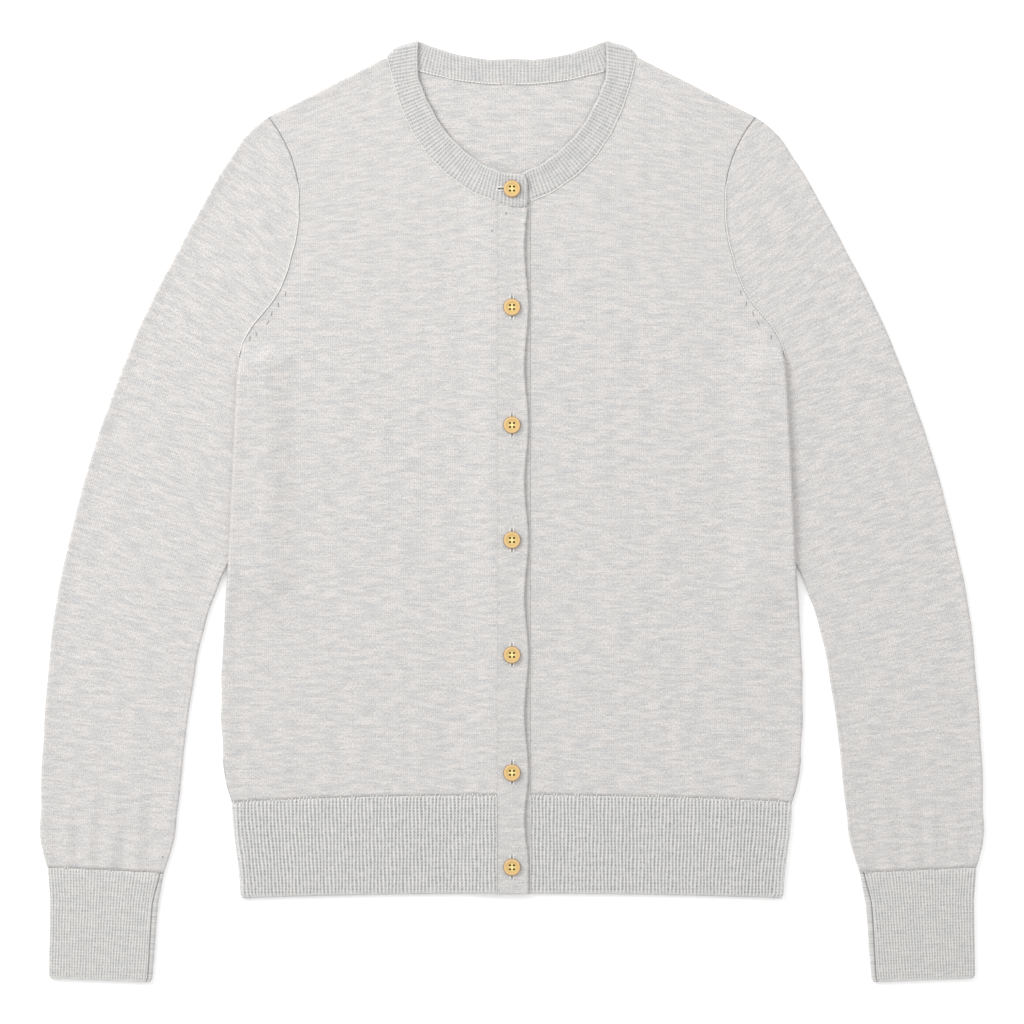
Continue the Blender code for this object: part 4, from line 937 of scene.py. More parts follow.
def neck_strip():
    """Nodes along the strip from its right end to its left, and how far along each one lies."""
    half = line_of(NECKBAND)
    right = np.vstack([BAND_ENDS["right"], half]) * [-1, 1, -1, 1, 1]
    left = np.vstack([BAND_ENDS["left"], half])[::-1]
    nodes = np.vstack([right, left[1:]])
    middle = (nodes[:, :2] + nodes[:, 2:4]) / 2
    turn = RIB * np.radians(np.abs(np.diff(nodes[:, 4])))
    step = np.linalg.norm(np.diff(middle, axis=0), axis=1) + turn
    return nodes, np.append(0.0, np.cumsum(step)), len(right) - 1


def cut_away(piece, cutter):
    """Cut a closed mesh out of a piece, and leave the result as the piece's plain mesh."""
    cutter_object = bpy.data.objects.new("cutter", cutter)
    bpy.context.scene.collection.objects.link(cutter_object)
    cut = piece.modifiers.new("cut", "BOOLEAN")
    cut.operation = "DIFFERENCE"
    cut.solver = "MANIFOLD"
    cut.object = cutter_object
    as_cut = piece.evaluated_get(bpy.context.evaluated_depsgraph_get())
    finished = bpy.data.meshes.new_from_object(as_cut)
    piece.modifiers.clear()
    piece.data = finished
    bpy.data.objects.remove(cutter_object)
    return finished


nodes, knots, back_middle = neck_strip()
along = np.arange(0.0, knots[-1], NECK_PITCH / RIB_CELLS)
free_x, free_y, seam_x, seam_y, roll = (spline(knots, column, along) for column in nodes.T)
roll = np.clip(roll, -90, 90)
free, seam = np.column_stack([free_x, free_y]), np.column_stack([seam_x, seam_y])
strip_width = np.linalg.norm(seam - free, axis=1)
across = (seam - free) / strip_width[:, None]
outward = np.column_stack([across[:, 1], -across[:, 0]]) * -np.sign(across[:, :1])
edge_rows = np.tile(NECK_ROWS, (len(along), 1)).T
even_rows = np.array([np.linspace(NECK_ROWS[-1], width - NECK_ROWS[-1], NECK_MIDDLE_ROWS)[1:-1]
                      for width in strip_width]).T
from_free = np.vstack([edge_rows, even_rows, strip_width - edge_rows[::-1]])
from_seam = strip_width - from_free
right_start, left_start = len(BAND_ENDS["right"]), len(nodes) - 1 - len(BAND_ENDS["left"])
right_fold, left_fold = right_start + FOLD_ROW, left_start - FOLD_ROW
from_fold = np.minimum.reduce([
    np.maximum(0, np.maximum(knots[start] - along, along - knots[stop]))
    for start, stop in ((right_fold, right_fold + 2), (left_fold - 2, left_fold))])
share = from_free / strip_width
# The folded cloth stands out most at two thirds of the strip: 27/4 brings s^2 (1 - s) to 1 there.
bulge = FOLD_BULGE * 27 / 4 * share ** 2 * (1 - share) * bell(from_fold, 0.0, FOLD_SPREAD)
plan = free + across * from_free[..., None] + bulge[..., None] * outward
# Near the shoulders the ribs are parallel and run out on the fold.
count = np.broadcast_to(along / NECK_PITCH, from_free.shape).copy()
slanted = np.array([[NECKBAND[f"{end}_{axis}"][LAST_RIB] for axis in "xy"]
                    for end in ("free", "seam")])
beyond = (np.dstack([np.abs(plan[..., 0]), plan[..., 1]]) - slanted[0]) @ left_normals(slanted)[0]
for node_at, way in ((right_start + LAST_RIB, 1.0), (left_start - LAST_RIB, -1.0)):
    here = (way * (along - knots[node_at]) > 0) & (roll > 45.0) & (way * free_x < SLANT_PAST)
    count[:, here] = (knots[node_at] + way * beyond[:, here]) / NECK_PITCH
drift, proud = uneven_ribs(count, from_free, NECK_SEED)
ridge = ridges(count + drift) * proud
cross = sum(bell(from_seam, line, CROSS_WIDTH, strength) for line, strength in CROSS_LINES)
relief = np.maximum(ridge, CROSS_RISE * cross) * smoothstep(*FREE_FADE, from_free)
plain = np.where(roll < -89.0, 1.0, smoothstep(0.2, FOLD_PLAIN, from_fold))
relief *= smoothstep(*NECK_SEAM_FADE, from_seam) * plain
edge = ellipse(from_free, 1.0) * ellipse(from_seam + 0.45, 0.8)
edge *= ellipse(np.minimum(along, along[-1] - along)[None] + 0.1, 0.8)
front_face = smoothstep(*FACE_TURN, roll)[None]
behind = smoothstep(*FACE_TURN, -roll)[None]
meet = JOIN_STEP * (1 - smoothstep(0.0, NECK_MEET, from_seam)) * front_face
outer_radius = RIB * (0.45 + 0.55 * edge) + GAP / 2 + NECK_RISE * relief * (front_face + 0.3) - meet
inner_radius = GAP / 2 + 0.5 * RIB * (1 - edge) * front_face - NECK_RISE * relief * behind
half_width = np.where(np.arange(len(along)) < np.searchsorted(along, knots[back_middle]),
                      -seam_x, np.inf)
lap = (RIB + GAP) * (1 - smoothstep(*LAP_REACH, half_width)) * (roll > 0)
stand = FREE_STAND * (1 - smoothstep(0.0, STAND_REACH, from_free)) * front_face
faces = []
for radius in (outer_radius, inner_radius):
    push = (radius * np.cos(np.radians(roll)))[..., None] * outward
    height = RIB + GAP / 2 + radius * np.sin(np.radians(roll)) + lap + stand
    faces.append(np.dstack([plan + push, height]))
shown = smoothstep(*FREE_SHOWN, from_free) * smoothstep(*NECK_SEAM_SHOWN, from_seam) * plain
place = np.dstack([in_the_rib(count + drift, shown), from_free])
band_rib = rib_material("neckband_rib", "#D6D5D3", "#D1D1D1", "#DCDAD8", 0.47)
piece = cloth("neck_strip", faces[0], faces[1], place + NECK_MOVED, band_rib)
work = bmesh.new()
slit_size = (NECK_SLIT[1] - NECK_SLIT[0], *NECK_SLIT_SIZE)
slit_middle = (sum(NECK_SLIT) / 2, BUTTON_Y[0], RIB_Z + RIB + GAP / 2 + NECK_SLIT_SIZE[1] / 2)
bmesh.ops.create_cube(work, size=1.0, matrix=Matrix.LocRotScale(
    Vector(slit_middle) * MM, None, Vector(slit_size) * MM))
slit_cutter = bpy.data.meshes.new("slit_cutter")
work.to_mesh(slit_cutter)
cut_away(piece, slit_cutter)
body_piece(piece, "neckband")

# ---------------------------------------------------------------------------------------------
# The button plackets. Each front's edge is faced with a folded strip of the plain knit, sewn
# down along one line. The upper one, on the right front, laps over the under one.

BAND = 1.4                # wall of a placket
LAP_Z = RIB_Z + BAND + GAP  # inner face of the upper placket
PLACKET_LEFT = -10.5      # the upper placket's seam with its front
PLACKET_EDGE = 10.15      # mean place of its free edge
PLACKET_WAVE = 1.4        # the edge stands out at each button and sinks between two
PLACKET_FOOT = -268.1     # lower end of both plackets
UNDER_EDGES = (-9.1, 12.6)  # the under placket's free edge and its seam
EDGE_LIFT, LIFT_REACH = 0.9, 4.5  # its free edge curls up between two buttons
SLIT_LENGTH, SLIT_DEPTH, SLIT_END = 16.6, 1.15, 0.6  # a buttonhole, and how soon its ends rise
SLIT_EDGE = (0.24, 0.5)   # half width of a buttonhole at its bottom and at its lips
# Top ends, where they meet the neckband: places across, and heights there.
UPPER_TOP = ([-10.5, 0.0, 6.3, 11.0], [216.1, 212.6, 212.2, 212.4])
UNDER_TOP = ([-9.1, 0.0, 12.6], [212.2, 212.2, 216.4])
TACK_LINE = -9.6          # line of stitches that holds the facing
TACK_DIP, FOLD_RIDGE = (0.35, -0.16), (0.9, 0.18)  # half width and height of the lines pressed in
FOLD_INSET = 1.6          # the pressed ridge's distance from the free edge
PLACKET_MOVED = (0.0, 3000.0)
# Columns of a placket, from an edge in and from the buttonholes' line both ways.
EDGE_COLUMNS = np.array([0.0, 0.12, 0.35, 0.7, 1.2, 2.0, 3.0, 4.4, 6.0])
SLIT_COLUMNS = np.array([-1.1, -0.7, -0.45, -0.3, -0.18, 0.0, 0.18, 0.3, 0.45, 0.7, 1.1])
PLAIN_COLUMNS = (7.8, 7.4)  # one more, this far in from the left edge and from the right
# Rows of a placket: close at its foot, then one a millimetre, then those that its top cuts off.
# The under placket shows so little that it takes every fifth of the even ones.
FOOT_STEPS, EVEN_TO = (0, 0.15, 0.4, 0.8, 1.3, 2.0), 209.0
TOP_ROWS, SPARSE = (210.0, 211.0, 212.0, 213.0, 300.0), 5
PLACKET_ROUND, FOOT_CORNER = 1.1, 1.3  # radius of its edges and of its lower corners
FACING_WALE = 1.3         # wale to wale of the facing, as drawn


def placket_material():
    """Folded plain knit, its wales upright: smoother and closer than the body, the same yarn."""
    material, tree, shader = start_material("heather_facing", {**KNIT_FINISH, "Roughness": 0.93})
    place = node(tree, "UVMap", {"uv_map": "knit"}, {})
    colour = heather(tree, place, "#D6D4D2", "#CECECD", "#DDDAD8", streaks=0.9, grain=1.0)
    fluff = stretched_noise(tree, place, across=0.9, along=0.9, detail=3.0, seed=8)
    wales = wave(tree, place, 0, FACING_WALE)
    height = node(tree, "Math", {"operation": "MULTIPLY_ADD"}, {0: fluff, 1: 4.0, 2: wales})
    dress(tree, shader, colour, height, strength=0.35, deep=0.14)
    return material


def button_turns(y):
    """Height counted in buttons from the top one down."""
    return np.interp(-y, -np.array(BUTTON_Y), np.arange(len(BUTTON_Y)))


def placket_edge(y):
    """The upper placket's free edge: a cosine that stands out at each button."""
    return PLACKET_EDGE + PLACKET_WAVE * np.cos(2 * np.pi * button_turns(y))


def placket_grid(left, right, top, rows):
    """Plan grid of a placket: fine columns at its edges and along the buttonholes' line."""
    rows = np.asarray(rows)[:, None]
    x = np.hstack([left + EDGE_COLUMNS + 0 * rows, left + PLAIN_COLUMNS[0] + 0 * rows,
                   SLIT_COLUMNS + 0 * rows, right(rows) - PLAIN_COLUMNS[1],
                   right(rows) - EDGE_COLUMNS[::-1]])
    return np.dstack([x, np.minimum(rows, np.interp(x, *top))])


def make_placket(name, node_name, plan, free, level, lift, relief):
    """One placket: a strip, rounded above and below at its foot and its free edge, which is this
    column, and lifted along it. Its relief is on its outer face alone."""
    foot = plan[..., 1] - PLACKET_FOOT
    from_free = np.abs(plan[..., 0] - plan[:, free, 0][:, None])
    edge = np.minimum(ellipse(from_free, PLACKET_ROUND), ellipse(foot, PLACKET_ROUND))
    level = level + lift * (1 - smoothstep(0.0, LIFT_REACH, from_free))
    outer = level + BAND * (0.5 + 0.5 * edge) + relief * edge
    inner = level + BAND * 0.45 * (1 - edge)
    piece = cloth(name, with_height(plan, outer), with_height(plan, inner), plan + PLACKET_MOVED, facing)
    body_piece(piece, node_name)


facing = placket_material()
close = PLACKET_FOOT + np.array(FOOT_STEPS)
even = np.arange(PLACKET_FOOT + 3.0, EVEN_TO, 1.0)
rows = np.concatenate([close, even, TOP_ROWS])
under_rows = np.concatenate([close, even[:1], even[1::SPARSE], TOP_ROWS])
plan = placket_grid(UNDER_EDGES[0], lambda y: UNDER_EDGES[1] + 0 * y, UNDER_TOP, under_rows)
make_placket("facing_left", "placket_left", plan, 0, RIB_Z, 0.0, 0.0)
plan = placket_grid(PLACKET_LEFT, placket_edge, UPPER_TOP, rows)
corner_x = 1 - ellipse(plan[..., 1] - PLACKET_FOOT, FOOT_CORNER)
plan[..., 0] += corner_x * np.where(plan[..., 0] < 0, 1, -1) * (np.abs(plan[..., 0]) / 10.0) ** 4
x, y = plan[..., 0], plan[..., 1]
slit = np.zeros(x.shape)
for button_y in BUTTON_Y[1:]:
    ends = 1 - smoothstep(0.5 * SLIT_LENGTH - SLIT_END, 0.5 * SLIT_LENGTH, np.abs(y - button_y))
    slit -= SLIT_DEPTH * (1 - smoothstep(*SLIT_EDGE, np.abs(x))) * ends
pressed = bell(x, TACK_LINE, *TACK_DIP) + bell(x, placket_edge(y) - FOLD_INSET, *FOLD_RIDGE)
curl = EDGE_LIFT * (0.55 - 0.45 * np.cos(2 * np.pi * button_turns(y)))
make_placket("facing_right", "placket_right", plan, -1, LAP_Z, curl, slit + pressed)

# ---------------------------------------------------------------------------------------------
# The linking and the sewing. The knitted pieces are joined loop by loop in the same yarn, which
# stands up as a fine chain, drawn paler than the cloth as a painted highlight; seams and loops in
# shade are drawn in grey yarn as painted shade. The buttonholes are worked over in a paler cotton
# thread, and the facings tacked with the linking yarn.

# Kinds of stitch, drawn about twice as thick as the real yarn so that they show: length, radius,
# how far the middle arches up, and how deep the stitch is sunk into the cloth.
STITCH = {
    "neck chain": (2.5, 0.45, 0.08, 0.1), "armhole chain": (2.5, 0.52, 0.05, 0.25),
    "armhole seam": (2.6, 0.3, 0.0, 0.25), "seam in the fold": (2.6, 0.26, 0.0, 0.26),
    "cuff seam": (2.6, 0.36, 0.0, 0.1), "back neck chain": (2.3, 0.6, 0.15, 0.1),
    "hem loop": (2.2, 0.42, 0.15, 0.1), "cuff loop": (1.7, 0.36, 0.12, 0.1),
    "tight loop": (3.9, 0.34, 0.0, 0.31), "knot": (1.3, 0.42, 0.0, 0.35),
    "worked bar": (1.3, 0.4, 0.1, 0.1), "tack": (1.6, 0.2, 0.04, 0.1),
}
STITCH_SIDES = 6
STITCH_RINGS = np.array([-0.85, -0.4, 0.4, 0.85])[:, None]  # shares of a stitch's half length
TILT, LINE_STEP = 60.0, 0.2  # tilt in degrees at a jitter of 1, and the step that gives a line's angle
RAY_START = 0.05          # metres, well above the garment
CHAIN_PITCH, BACK_PITCH, TACK_PITCH = 2.0, 2.3, 3.1
NECK_START = {"right": 9.0, "left": 14.0}  # the neck's chain starts this far from the centre
CHAIN_OUT, SEAM_IN = 0.55, 0.2  # chain and seam lie this far on either side of the armhole's line
UNDERARM_START = (191.2, 108.0)  # where that chain starts, on the fold under the arm
BACK_BREAK = (-8.0, 1.0)  # a stretch of the back neck without its chain
TIGHT_FROM = GROOVE[0] + 2.0  # height from which the armhole's seam is drawn in grey yarn, painted shade of its groove
BAND_COVERS = 1.0         # the back neck's chain ends this far inside the fold of the neckband
# Single loops at a seam: how many of the ribs have one, how far past the seam they lie, and their
# angles in degrees. They lie up to this far aside, and the cuff's lie over this run of its width.
LOOPS = {"hem": (0.9, (-0.8, 0.6), (55.0, 125.0)), "cuff": (0.6, (-0.7, 0.4), (30.0, 150.0))}
LOOP_ASIDE = 0.7
CUFF_LOOPS = (3.0, 76.0)  # from the outer fold, and how wide


def yarn_material(name, light, dark, size):
    """Spun yarn or thread, matt and hairy: two close tones in grains of this many millimetres."""
    material, tree, shader = start_material(name, {
        "Roughness": 0.9, "Sheen Weight": 0.08, "Specular IOR Level": 0.2})
    place = node(tree, "TexCoord", {}, {}, output="Object")
    grain = node(tree, "TexNoise", {}, {"Vector": place, "Scale": 1.0 / (size * MM), "Detail": 2.0})
    colour = node(tree, "ValToRGB", {}, {0: grain}, stops=[(0.35, dark), (0.65, light)])
    tree.links.new(colour, shader.inputs["Base Color"])
    return material


def top_of(names, plan):
    """Height of the highest of these pieces under each plan point, found by a ray from above."""
    bpy.context.view_layer.update()
    pieces = [bpy.data.objects[name] for name in names]
    heights = []
    for x, y in plan * MM:
        hits = [item.ray_cast(Vector((x, y, RAY_START)), Vector((0, 0, -1))) for item in pieces]
        heights.append(max((place.z for hit, place, _, _ in hits if hit), default=0.0))
    return np.array(heights) / MM


def stitches(name, plan, angle, kind, names, material):
    """Many short stitches of a kind in one mesh, each at a plan point and an angle in degrees.

    A stitch is a closed capsule. Its ring at share s of its half length, from -1 to 1, has the
    radius times the root of 1 - s^2, and its middle stands arch times 1 - s^2 above its ends.
    It lies on the highest of the named pieces, sunk into it a little.
    """
    length, radius, arch, sunk = STITCH[kind]
    share = STITCH_RINGS
    turn = np.linspace(0.0, 2 * np.pi, STITCH_SIDES, endpoint=False)
    size = radius * np.sqrt(1 - share ** 2)
    ends = np.array([[-0.5 * length, 0.0, 0.0], [0.5 * length, 0.0, 0.0]])
    rings = np.dstack([np.repeat(0.5 * length * share, STITCH_SIDES, 1), size * np.cos(turn),
                       size * np.sin(turn) + arch * (1 - share ** 2)])
    shape = np.vstack([ends, rings.reshape(-1, 3)])
    c, s = np.cos(np.radians(angle))[:, None], np.sin(np.radians(angle))[:, None]
    height = top_of(names, plan) + radius - sunk
    points = np.stack([plan[:, :1] + c * shape[:, 0] - s * shape[:, 1],
                       plan[:, 1:] + s * shape[:, 0] + c * shape[:, 1],
                       height[:, None] + shape[:, 2]], axis=2)
    r, k = grid_cells(len(share), STITCH_SIDES, True)
    sides = r * STITCH_SIDES + k % STITCH_SIDES + len(ends)
    first, last = np.arange(STITCH_SIDES) + len(ends), len(shape) - STITCH_SIDES
    caps = np.vstack([np.column_stack([0 * first, np.roll(first, -1), first]),
                      np.column_stack([0 * first + 1, first - 2 + last, np.roll(first, -1) - 2 + last])])
    start = (np.arange(len(plan)) * len(shape))[:, None, None]
    faces = (start + sides).reshape(-1, 4).tolist() + (start + caps).reshape(-1, 3).tolist()
    piece = add_mesh(name, points.reshape(-1, 3), faces, material)
    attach(piece, "root")


def along_line(line, pitch, jitter, seed):
    """Places every pitch along a line and the angle of the line there, both a little uneven."""
    draw = np.random.default_rng(seed)
    at = np.arange(pitch / 2, lengths(line)[-1], pitch)
    at = at + draw.uniform(-jitter, jitter, len(at)) * pitch
    run = walk(line, at + LINE_STEP) - walk(line, at - LINE_STEP)
    angle = np.degrees(np.arctan2(run[:, 1], run[:, 0]))
    return walk(line, at), angle + draw.uniform(-TILT, TILT, len(at)) * jitter


# The cloth's yarn drawn paler: the extra lightness is a painted highlight on its raised loops and
# stitches.
linking_yarn_painted_highlight = yarn_material("linking_yarn_painted_highlight", "#EEECE9", "#DCDBD9", 0.9)
# Grey yarn for seams, loops and knots that lie in shade: its grey is painted shade.
painted_shade_yarn = yarn_material("tight_loops_painted_shade", "#A6A6A6", "#8C8C8D", 0.8)
# Mid-grey yarn for the lower armhole seam in its fold: painted shade.
shaded_yarn = yarn_material("yarn_in_the_fold_painted_shade", "#C3C3C2", "#B0B0AF", 0.8)
neck_line, back_line = smooth_line(line_of(FRONT_NECK)), smooth_line(line_of(BACK_NECK))
back_line = back_line[back_line[:, 0] < NECKBAND["free_x"].max() - BAND_COVERS]
low_armhole = ARM[ARM[:, 1] < GROOVE[0]]
low_armhole = np.vstack([UNDERARM_START, low_armhole - CHAIN_OUT * left_normals(low_armhole)])
armhole_line = ARM + SEAM_IN * left_normals(ARM)
for hand, side in HANDS.items():
    names = [f"front_panel_{hand}", f"sleeve_tube_{hand}", "neck_strip"]
    line = neck_line[neck_line[:, 0] > NECK_START[hand]] * [side, 1.0]
    plan, angle = along_line(line, CHAIN_PITCH, jitter=0.08, seed=41)
    stitches(f"neck_linking_{hand}", plan, angle, "neck chain", names, linking_yarn_painted_highlight)
    plan, angle = along_line(low_armhole * [side, 1.0], CHAIN_PITCH, jitter=0.06, seed=42)
    stitches(f"armhole_linking_{hand}", plan, angle, "armhole chain", names, linking_yarn_painted_highlight)
    plan, angle = along_line(armhole_line * [side, 1.0], CHAIN_PITCH, jitter=0.06, seed=46)
    high = plan[:, 1] > TIGHT_FROM
    stitches(f"armhole_seam_{hand}", plan[high], angle[high], "armhole seam", names, painted_shade_yarn)
    stitches(f"low_armhole_seam_{hand}", plan[~high], angle[~high], "seam in the fold", names,
             shaded_yarn)
    plan, angle = along_line(cuff_seams[hand] * [side, 1.0], CHAIN_PITCH, jitter=0.06, seed=47)
    stitches(f"cuff_seam_{hand}", plan, angle, "cuff seam", [f"cuff_tube_{hand}"], painted_shade_yarn)
line = np.vstack([back_line * [-1.0, 1.0], back_line[-2::-1]])
plan, angle = along_line(line, BACK_PITCH, jitter=0.06, seed=43)
chained = (plan[:, 0] < BACK_BREAK[0]) | (plan[:, 0] > BACK_BREAK[1])
stitches("back_neck_linking", plan[chained], angle[chained], "back neck chain",
         ["back_panel", "neck_strip"], linking_yarn_painted_highlight)

# Where the ribs start, at the hem and the cuffs, single loops of the joining course stand up.
draw = np.random.default_rng(44)
hem_names = ["front_panel_right", "front_panel_left", "hem_band_right", "hem_band_left"]
half = BODY_SIDE["half"][0]
for hand, side in HANDS.items():
    seam = FRONT_SEAM[hand]
    shown, past, angles = LOOPS["hem"]
    x = seam + (np.arange(HEM_RIBS) + 0.5) * (half - seam) / HEM_RIBS
    x = x[draw.uniform(0, 1, HEM_RIBS) < shown]
    x = x + draw.uniform(-LOOP_ASIDE, LOOP_ASIDE, len(x))
    y = JOIN_Y - JOIN_DROOP * (x / half) ** 2 + draw.uniform(*past, len(x))
    angle = draw.uniform(*angles, len(x))
    stitches(f"hem_linking_{hand}", np.column_stack([side * x, y]), angle, "hem loop", hem_names,
             linking_yarn_painted_highlight)
    outer_x, outer_y, inner_x, inner_y = (CUFF[key][0] for key in CUFF)
    shown, past, angles = LOOPS["cuff"]
    x = outer_x - CUFF_LOOPS[0] - (np.arange(CUFF_RIBS) + 0.5) * CUFF_LOOPS[1] / CUFF_RIBS
    x = x[draw.uniform(0, 1, CUFF_RIBS) < shown]
    y = outer_y + (outer_x - x) / (outer_x - inner_x) * (inner_y - outer_y)
    y = y + draw.uniform(*past, len(x))
    angle = draw.uniform(*angles, len(x))
    stitches(f"cuff_linking_{hand}", np.column_stack([side * x, y]), angle, "cuff loop",
             [f"sleeve_tube_{hand}", f"cuff_tube_{hand}"], linking_yarn_painted_highlight)

# Loops drawn tight where the body was narrowed along the armhole, grey as painted shade: place and angle.
# Knots, grey as painted shade: place.
TIGHT_LOOPS = np.array([
    (-158.5, 151.9, 84), (-163.5, 144.4, 97), (-168.2, 138.0, 78), (-170.9, 131.8, 64),
    (-178.9, 124.0, 100), (-183.5, 120.5, 80), (160.0, 153.0, 96), (163.8, 144.9, 84),
    (168.7, 138.0, 104), (172.2, 131.6, 116), (181.3, 121.6, 92),
])
KNOTS = np.array([
    (-4.2, 207.9), (-14.0, 196.0), (-244.4, -241.9), (10.4, 155.4), (9.0, 200.6),
])
body_names = ["front_panel_right", "front_panel_left", "back_panel", "facing_right",
              "sleeve_tube_right"]
stitches("narrowing_loops", TIGHT_LOOPS[:, :2], TIGHT_LOOPS[:, 2], "tight loop", body_names,
         painted_shade_yarn)
stitches("knots", KNOTS, np.linspace(40.0, 120.0, len(KNOTS)), "knot", body_names, painted_shade_yarn)

cotton_thread = yarn_material("cotton_thread", "#FAF9F6", "#ECEBE7", 0.5)
BAR_PITCH = 0.85          # bar to bar along a buttonhole
LIP = 1.15                # from the slit to the middle of a bar
BAR_INSET = 0.4           # the first bar's distance from the end of its buttonhole
BUTTON_HIDES = (5.6, 5.4)  # no bars this near the button's middle, in the placket and at the neck
down = np.arange(BAR_INSET - 0.5 * SLIT_LENGTH, 0.5 * SLIT_LENGTH, BAR_PITCH)
down = down[np.abs(down) > BUTTON_HIDES[0]]
worked = np.array([(x, y + step) for y in BUTTON_Y[1:] for step in down for x in (-LIP, LIP)])
stitches("worked_buttonholes", worked, np.zeros(len(worked)), "worked bar", ["facing_right"],
         cotton_thread)
level = np.arange(NECK_SLIT[0] + BAR_INSET, -BUTTON_HIDES[1], BAR_PITCH)
worked = np.array([(x, BUTTON_Y[0] + y) for x in level for y in (-LIP, LIP)])
stitches("worked_neck_buttonhole", worked, np.full(len(worked), 90.0), "worked bar", ["neck_strip"],
         cotton_thread)
line = np.array([(TACK_LINE, PLACKET_FOOT + 2.0), (TACK_LINE, UPPER_TOP[1][0] - 2.0)])
plan, angle = along_line(line, TACK_PITCH, jitter=0.1, seed=45)
stitches("facing_tacks", plan, angle, "tack", ["facing_right"], linking_yarn_painted_highlight)

# ---------------------------------------------------------------------------------------------
# The buttons. Seven turned wooden ones with a raised rim, a dished face and four thread holes,
# varnished. They are sewn through the under placket and stand in the buttonholes.

BUTTON_SIDES = 72
HOLE_OFFSET, HOLE_RADIUS, HOLE_SIDES = 1.4, 0.78, 20
HOLE_FLOOR = 0.3          # height of the thread that fills the foot of a hole
DRILL_LENGTH = 8.0
SHARP_FROM = 40.0         # edges that turn by more than this, in degrees, stay sharp
GRAIN_LINES = (2.5, 0.45, 1.0)  # growth lines per millimetre across the grain and along it
# Turned profile from the middle of the dish out over the rim and back under.
BUTTON_PROFILE = table("radius height", [
    (0.0, 1.55), (1.6, 1.54), (2.7, 1.57), (3.2, 1.63), (3.7, 1.74), (4.2, 1.86), (4.75, 1.95),
    (5.2, 1.92), (5.6, 1.74), (5.88, 1.42), (6.0, 1.05), (5.9, 0.7), (5.6, 0.35), (5.1, 0.12),
    (4.4, 0.0), (0.0, 0.0),
])


def wood_material():
    """Pale close-grained wood, turned and varnished: straw yellow in the middle of the dish, honey
    round it and peach on the rim, lighter there partly as a painted highlight on its raised top,
    and brown at the very edge as a painted shadow round the button's outline; the grain as faint
    lines of growth 0.4 mm apart, with a soft satin gloss. Its own map holds how far each point is
    from the button's middle."""
    material, tree, shader = start_material("varnished_wood", {
        "Roughness": 0.42, "Coat Weight": 0.25, "Coat Roughness": 0.3})
    from_middle = node(tree, "UVMap", {"uv_map": "turned"}, {})
    radius = node(tree, "VectorMath", {"operation": "LENGTH"}, {0: from_middle}, output="Value")
    share = node(tree, "Math", {"operation": "DIVIDE"}, {0: radius, 1: BUTTON_PROFILE["radius"].max()})
    # Outward from the middle: straw, honey, then peach lighter on the rim's top, partly painted
    # highlight, then brown at the edge, a painted shadow round the outline.
    colour = node(tree, "ValToRGB", {}, {0: share}, stops=[
        (0.1, "#FAEA9C"), (0.34, "#EFD289"), (0.55, "#DFBA72"), (0.74, "#E2BC7A"),
        (0.86, "#EFCD98"), (0.93, "#D3A76A"), (1.0, "#7F5F3C")])
    grain_place = node(tree, "Mapping", {}, {"Vector": from_middle, "Scale": GRAIN_LINES})
    grain = node(tree, "TexNoise", {}, {"Vector": grain_place, "Scale": 1.0, "Detail": 3.0})
    shade = node(tree, "ValToRGB", {}, {0: grain}, stops=[(0.32, 0.84), (0.68, 1.0)])
    colour = node(tree, "Mix", TIMES, {0: 1.0, 6: colour, 7: shade}, output=2)
    tree.links.new(colour, shader.inputs["Base Color"])
    return material


def drilled_material():
    """Walls of the drilled holes, dark brown as painted shade, which makes the four holes read as
    deep."""
    return start_material("painted_shade_in_the_holes", {
        "Base Color": srgb("#4A3216"), "Roughness": 0.8, "Specular IOR Level": 0.1})[0]


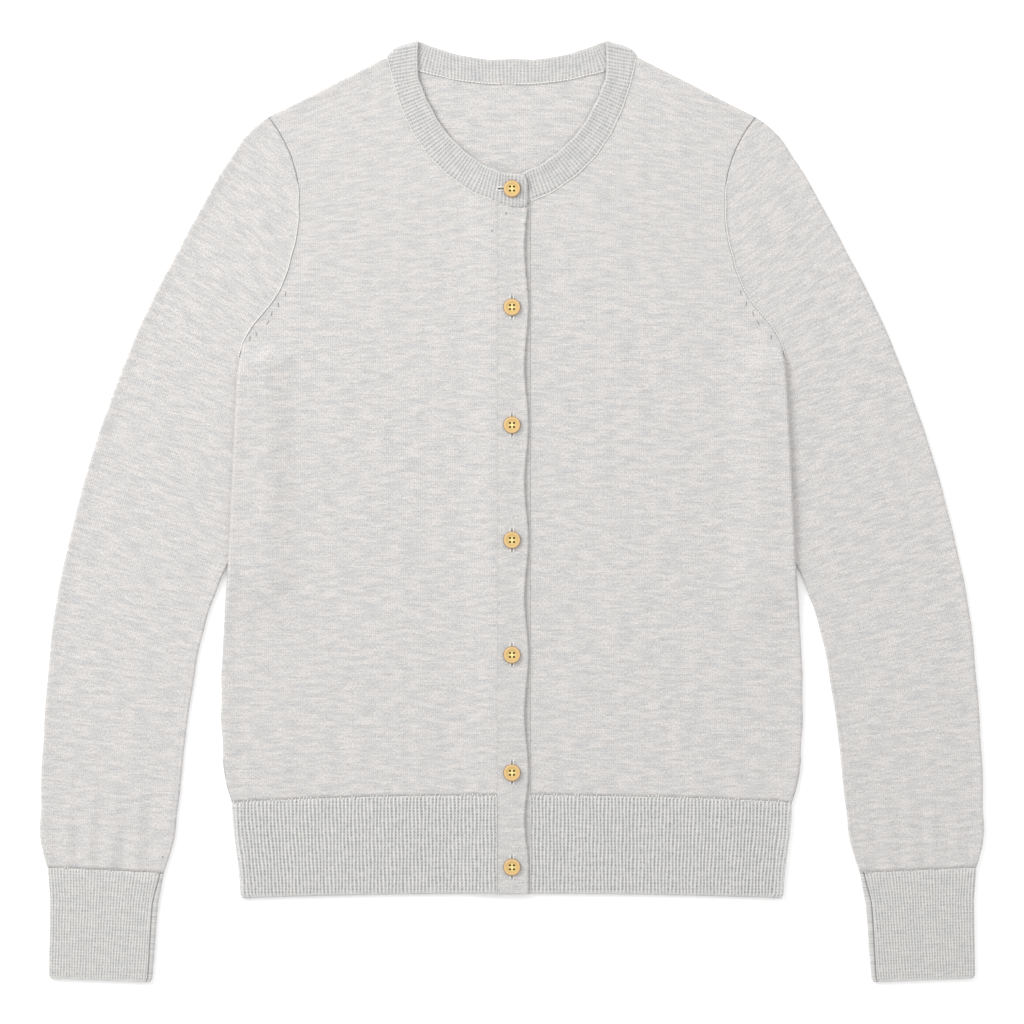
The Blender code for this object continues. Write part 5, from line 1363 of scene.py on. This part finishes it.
def turned_button(name, place, material, drilled):
    """One button: its profile swept round its axis, then four holes drilled into the dish. A face
    nearer to a hole's middle than its radius belongs to the hole."""
    angle = np.linspace(0.0, 2 * np.pi, BUTTON_SIDES, endpoint=False)
    radius, height = BUTTON_PROFILE["radius"][1:-1], BUTTON_PROFILE["height"][1:-1]
    ring = np.stack([np.outer(radius, np.cos(angle)), np.outer(radius, np.sin(angle)),
                     np.outer(height, np.ones(BUTTON_SIDES))], axis=2).reshape(-1, 3)
    r, c = grid_cells(len(radius), BUTTON_SIDES, True)
    faces = (r * BUTTON_SIDES + c % BUTTON_SIDES).tolist()
    last = (len(radius) - 1) * BUTTON_SIDES
    faces += [list(range(BUTTON_SIDES)), list(range(last, last + BUTTON_SIDES))]
    button = add_mesh(name, ring + place, faces, material)
    drill = bmesh.new()
    for x in (-HOLE_OFFSET, HOLE_OFFSET):
        for y in (-HOLE_OFFSET, HOLE_OFFSET):
            made = bmesh.ops.create_cone(drill, cap_ends=True, segments=HOLE_SIDES,
                                         depth=DRILL_LENGTH * MM, radius1=HOLE_RADIUS * MM,
                                         radius2=HOLE_RADIUS * MM)
            shift = Vector((place + [x, y, DRILL_LENGTH / 2 + HOLE_FLOOR]) * MM)
            bmesh.ops.translate(drill, vec=shift, verts=made["verts"])
    drill_mesh = bpy.data.meshes.new("drill")
    drill.to_mesh(drill_mesh)
    finished = cut_away(button, drill_mesh)
    finished.shade_smooth()
    finished.set_sharp_from_angle(angle=np.radians(SHARP_FROM))
    points, corners = np.empty(3 * len(finished.vertices)), np.empty(len(finished.loops), int)
    finished.vertices.foreach_get("co", points)
    finished.loops.foreach_get("vertex_index", corners)
    from_middle = points.reshape(-1, 3)[corners, :2] / MM - place[:2]
    layer = finished.uv_layers.new(name="turned")
    layer.data.foreach_set("uv", from_middle.astype(np.float32).ravel())
    centres = np.empty(3 * len(finished.polygons))
    finished.polygons.foreach_get("center", centres)
    from_middle = centres.reshape(-1, 3)[:, :2] / MM - place[:2]
    in_hole = np.linalg.norm(np.abs(from_middle) - HOLE_OFFSET, axis=1) < HOLE_RADIUS
    finished.materials.clear()
    for surface in (material, drilled):
        finished.materials.append(surface)
    finished.polygons.foreach_set("material_index", in_hole.astype(np.int32))
    return button


wood = wood_material()
in_the_holes = drilled_material()
for k, y in enumerate(BUTTON_Y):
    level = RIB_Z + 2 * RIB + GAP + RIB_RISE if k == 0 else LAP_Z + BAND
    button = turned_button(f"wood_button_{k + 1}", np.array([0.0, y, level + GAP]), wood, in_the_holes)
    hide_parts(f"button_{k + 1}")
    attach(button, "root")

# ---------------------------------------------------------------------------------------------
# The stage. A white acrylic table under two large soft lamps and an even white sky, and a camera
# with a long lens, which looks straight down from high above the garment.

VIEW_WIDTH = 716.8        # how much of the table the camera sees
VIEW_MIDDLE_Y = -0.7      # middle of its view
LENS, SENSOR = 210.0, 36.0
TABLE_SIZE = 4200.0


def table_material():
    """Matt white acrylic, lit a little from below, so that it stays a plain pale ground."""
    material, tree, shader = start_material("white_table", {
        "Roughness": 0.9, "Specular IOR Level": 0.1, "Emission Color": srgb("#FFFFFF"),
        "Emission Strength": 0.14})
    shade = node(tree, "TexNoise", {}, {"Scale": 4.0})
    colour = node(tree, "ValToRGB", {}, {0: shade}, stops=[(0.0, "#FAFAFA"), (1.0, "#FBFBFB")])
    tree.links.new(colour, shader.inputs["Base Color"])
    return material


corner, table_z = TABLE_SIZE / 2, -0.05
table_points = np.array([(-corner, -corner, table_z), (corner, -corner, table_z),
                         (corner, corner, table_z), (-corner, corner, table_z)])
table_top = add_mesh("table_top", table_points, [[0, 1, 2, 3]], table_material())

world = bpy.data.worlds.new("studio")
bpy.context.scene.world = world
world.use_nodes = True
sky = world.node_tree.nodes["Background"]
sky.inputs["Color"].default_value = srgb("#FFFFFF")
sky.inputs["Strength"].default_value = 0.76

# Each lamp: place in metres, size and power. Both face the middle of the garment.
for name, place, size, power in (("lamp_near", (-1.7, 1.3, 1.5), 1.1, 38.0),
                                 ("lamp_far", (1.6, 1.0, 2.4), 1.8, 14.0)):
    lamp = bpy.data.lights.new(name, "AREA")
    lamp.size, lamp.energy = size, power
    lamp_object = bpy.data.objects.new(name, lamp)
    bpy.context.scene.collection.objects.link(lamp_object)
    lamp_object.location = place
    lamp_object.rotation_euler = (-Vector(place)).to_track_quat("-Z", "Y").to_euler()

camera = bpy.data.cameras.new("camera")
camera.lens, camera.sensor_width = LENS, SENSOR
camera_object = bpy.data.objects.new("camera", camera)
bpy.context.scene.collection.objects.link(camera_object)
camera_object.location = (0.0, VIEW_MIDDLE_Y * MM, LENS / SENSOR * VIEW_WIDTH * MM)
bpy.context.scene.camera = camera_object
bpy.context.scene.view_settings.view_transform = "Standard"
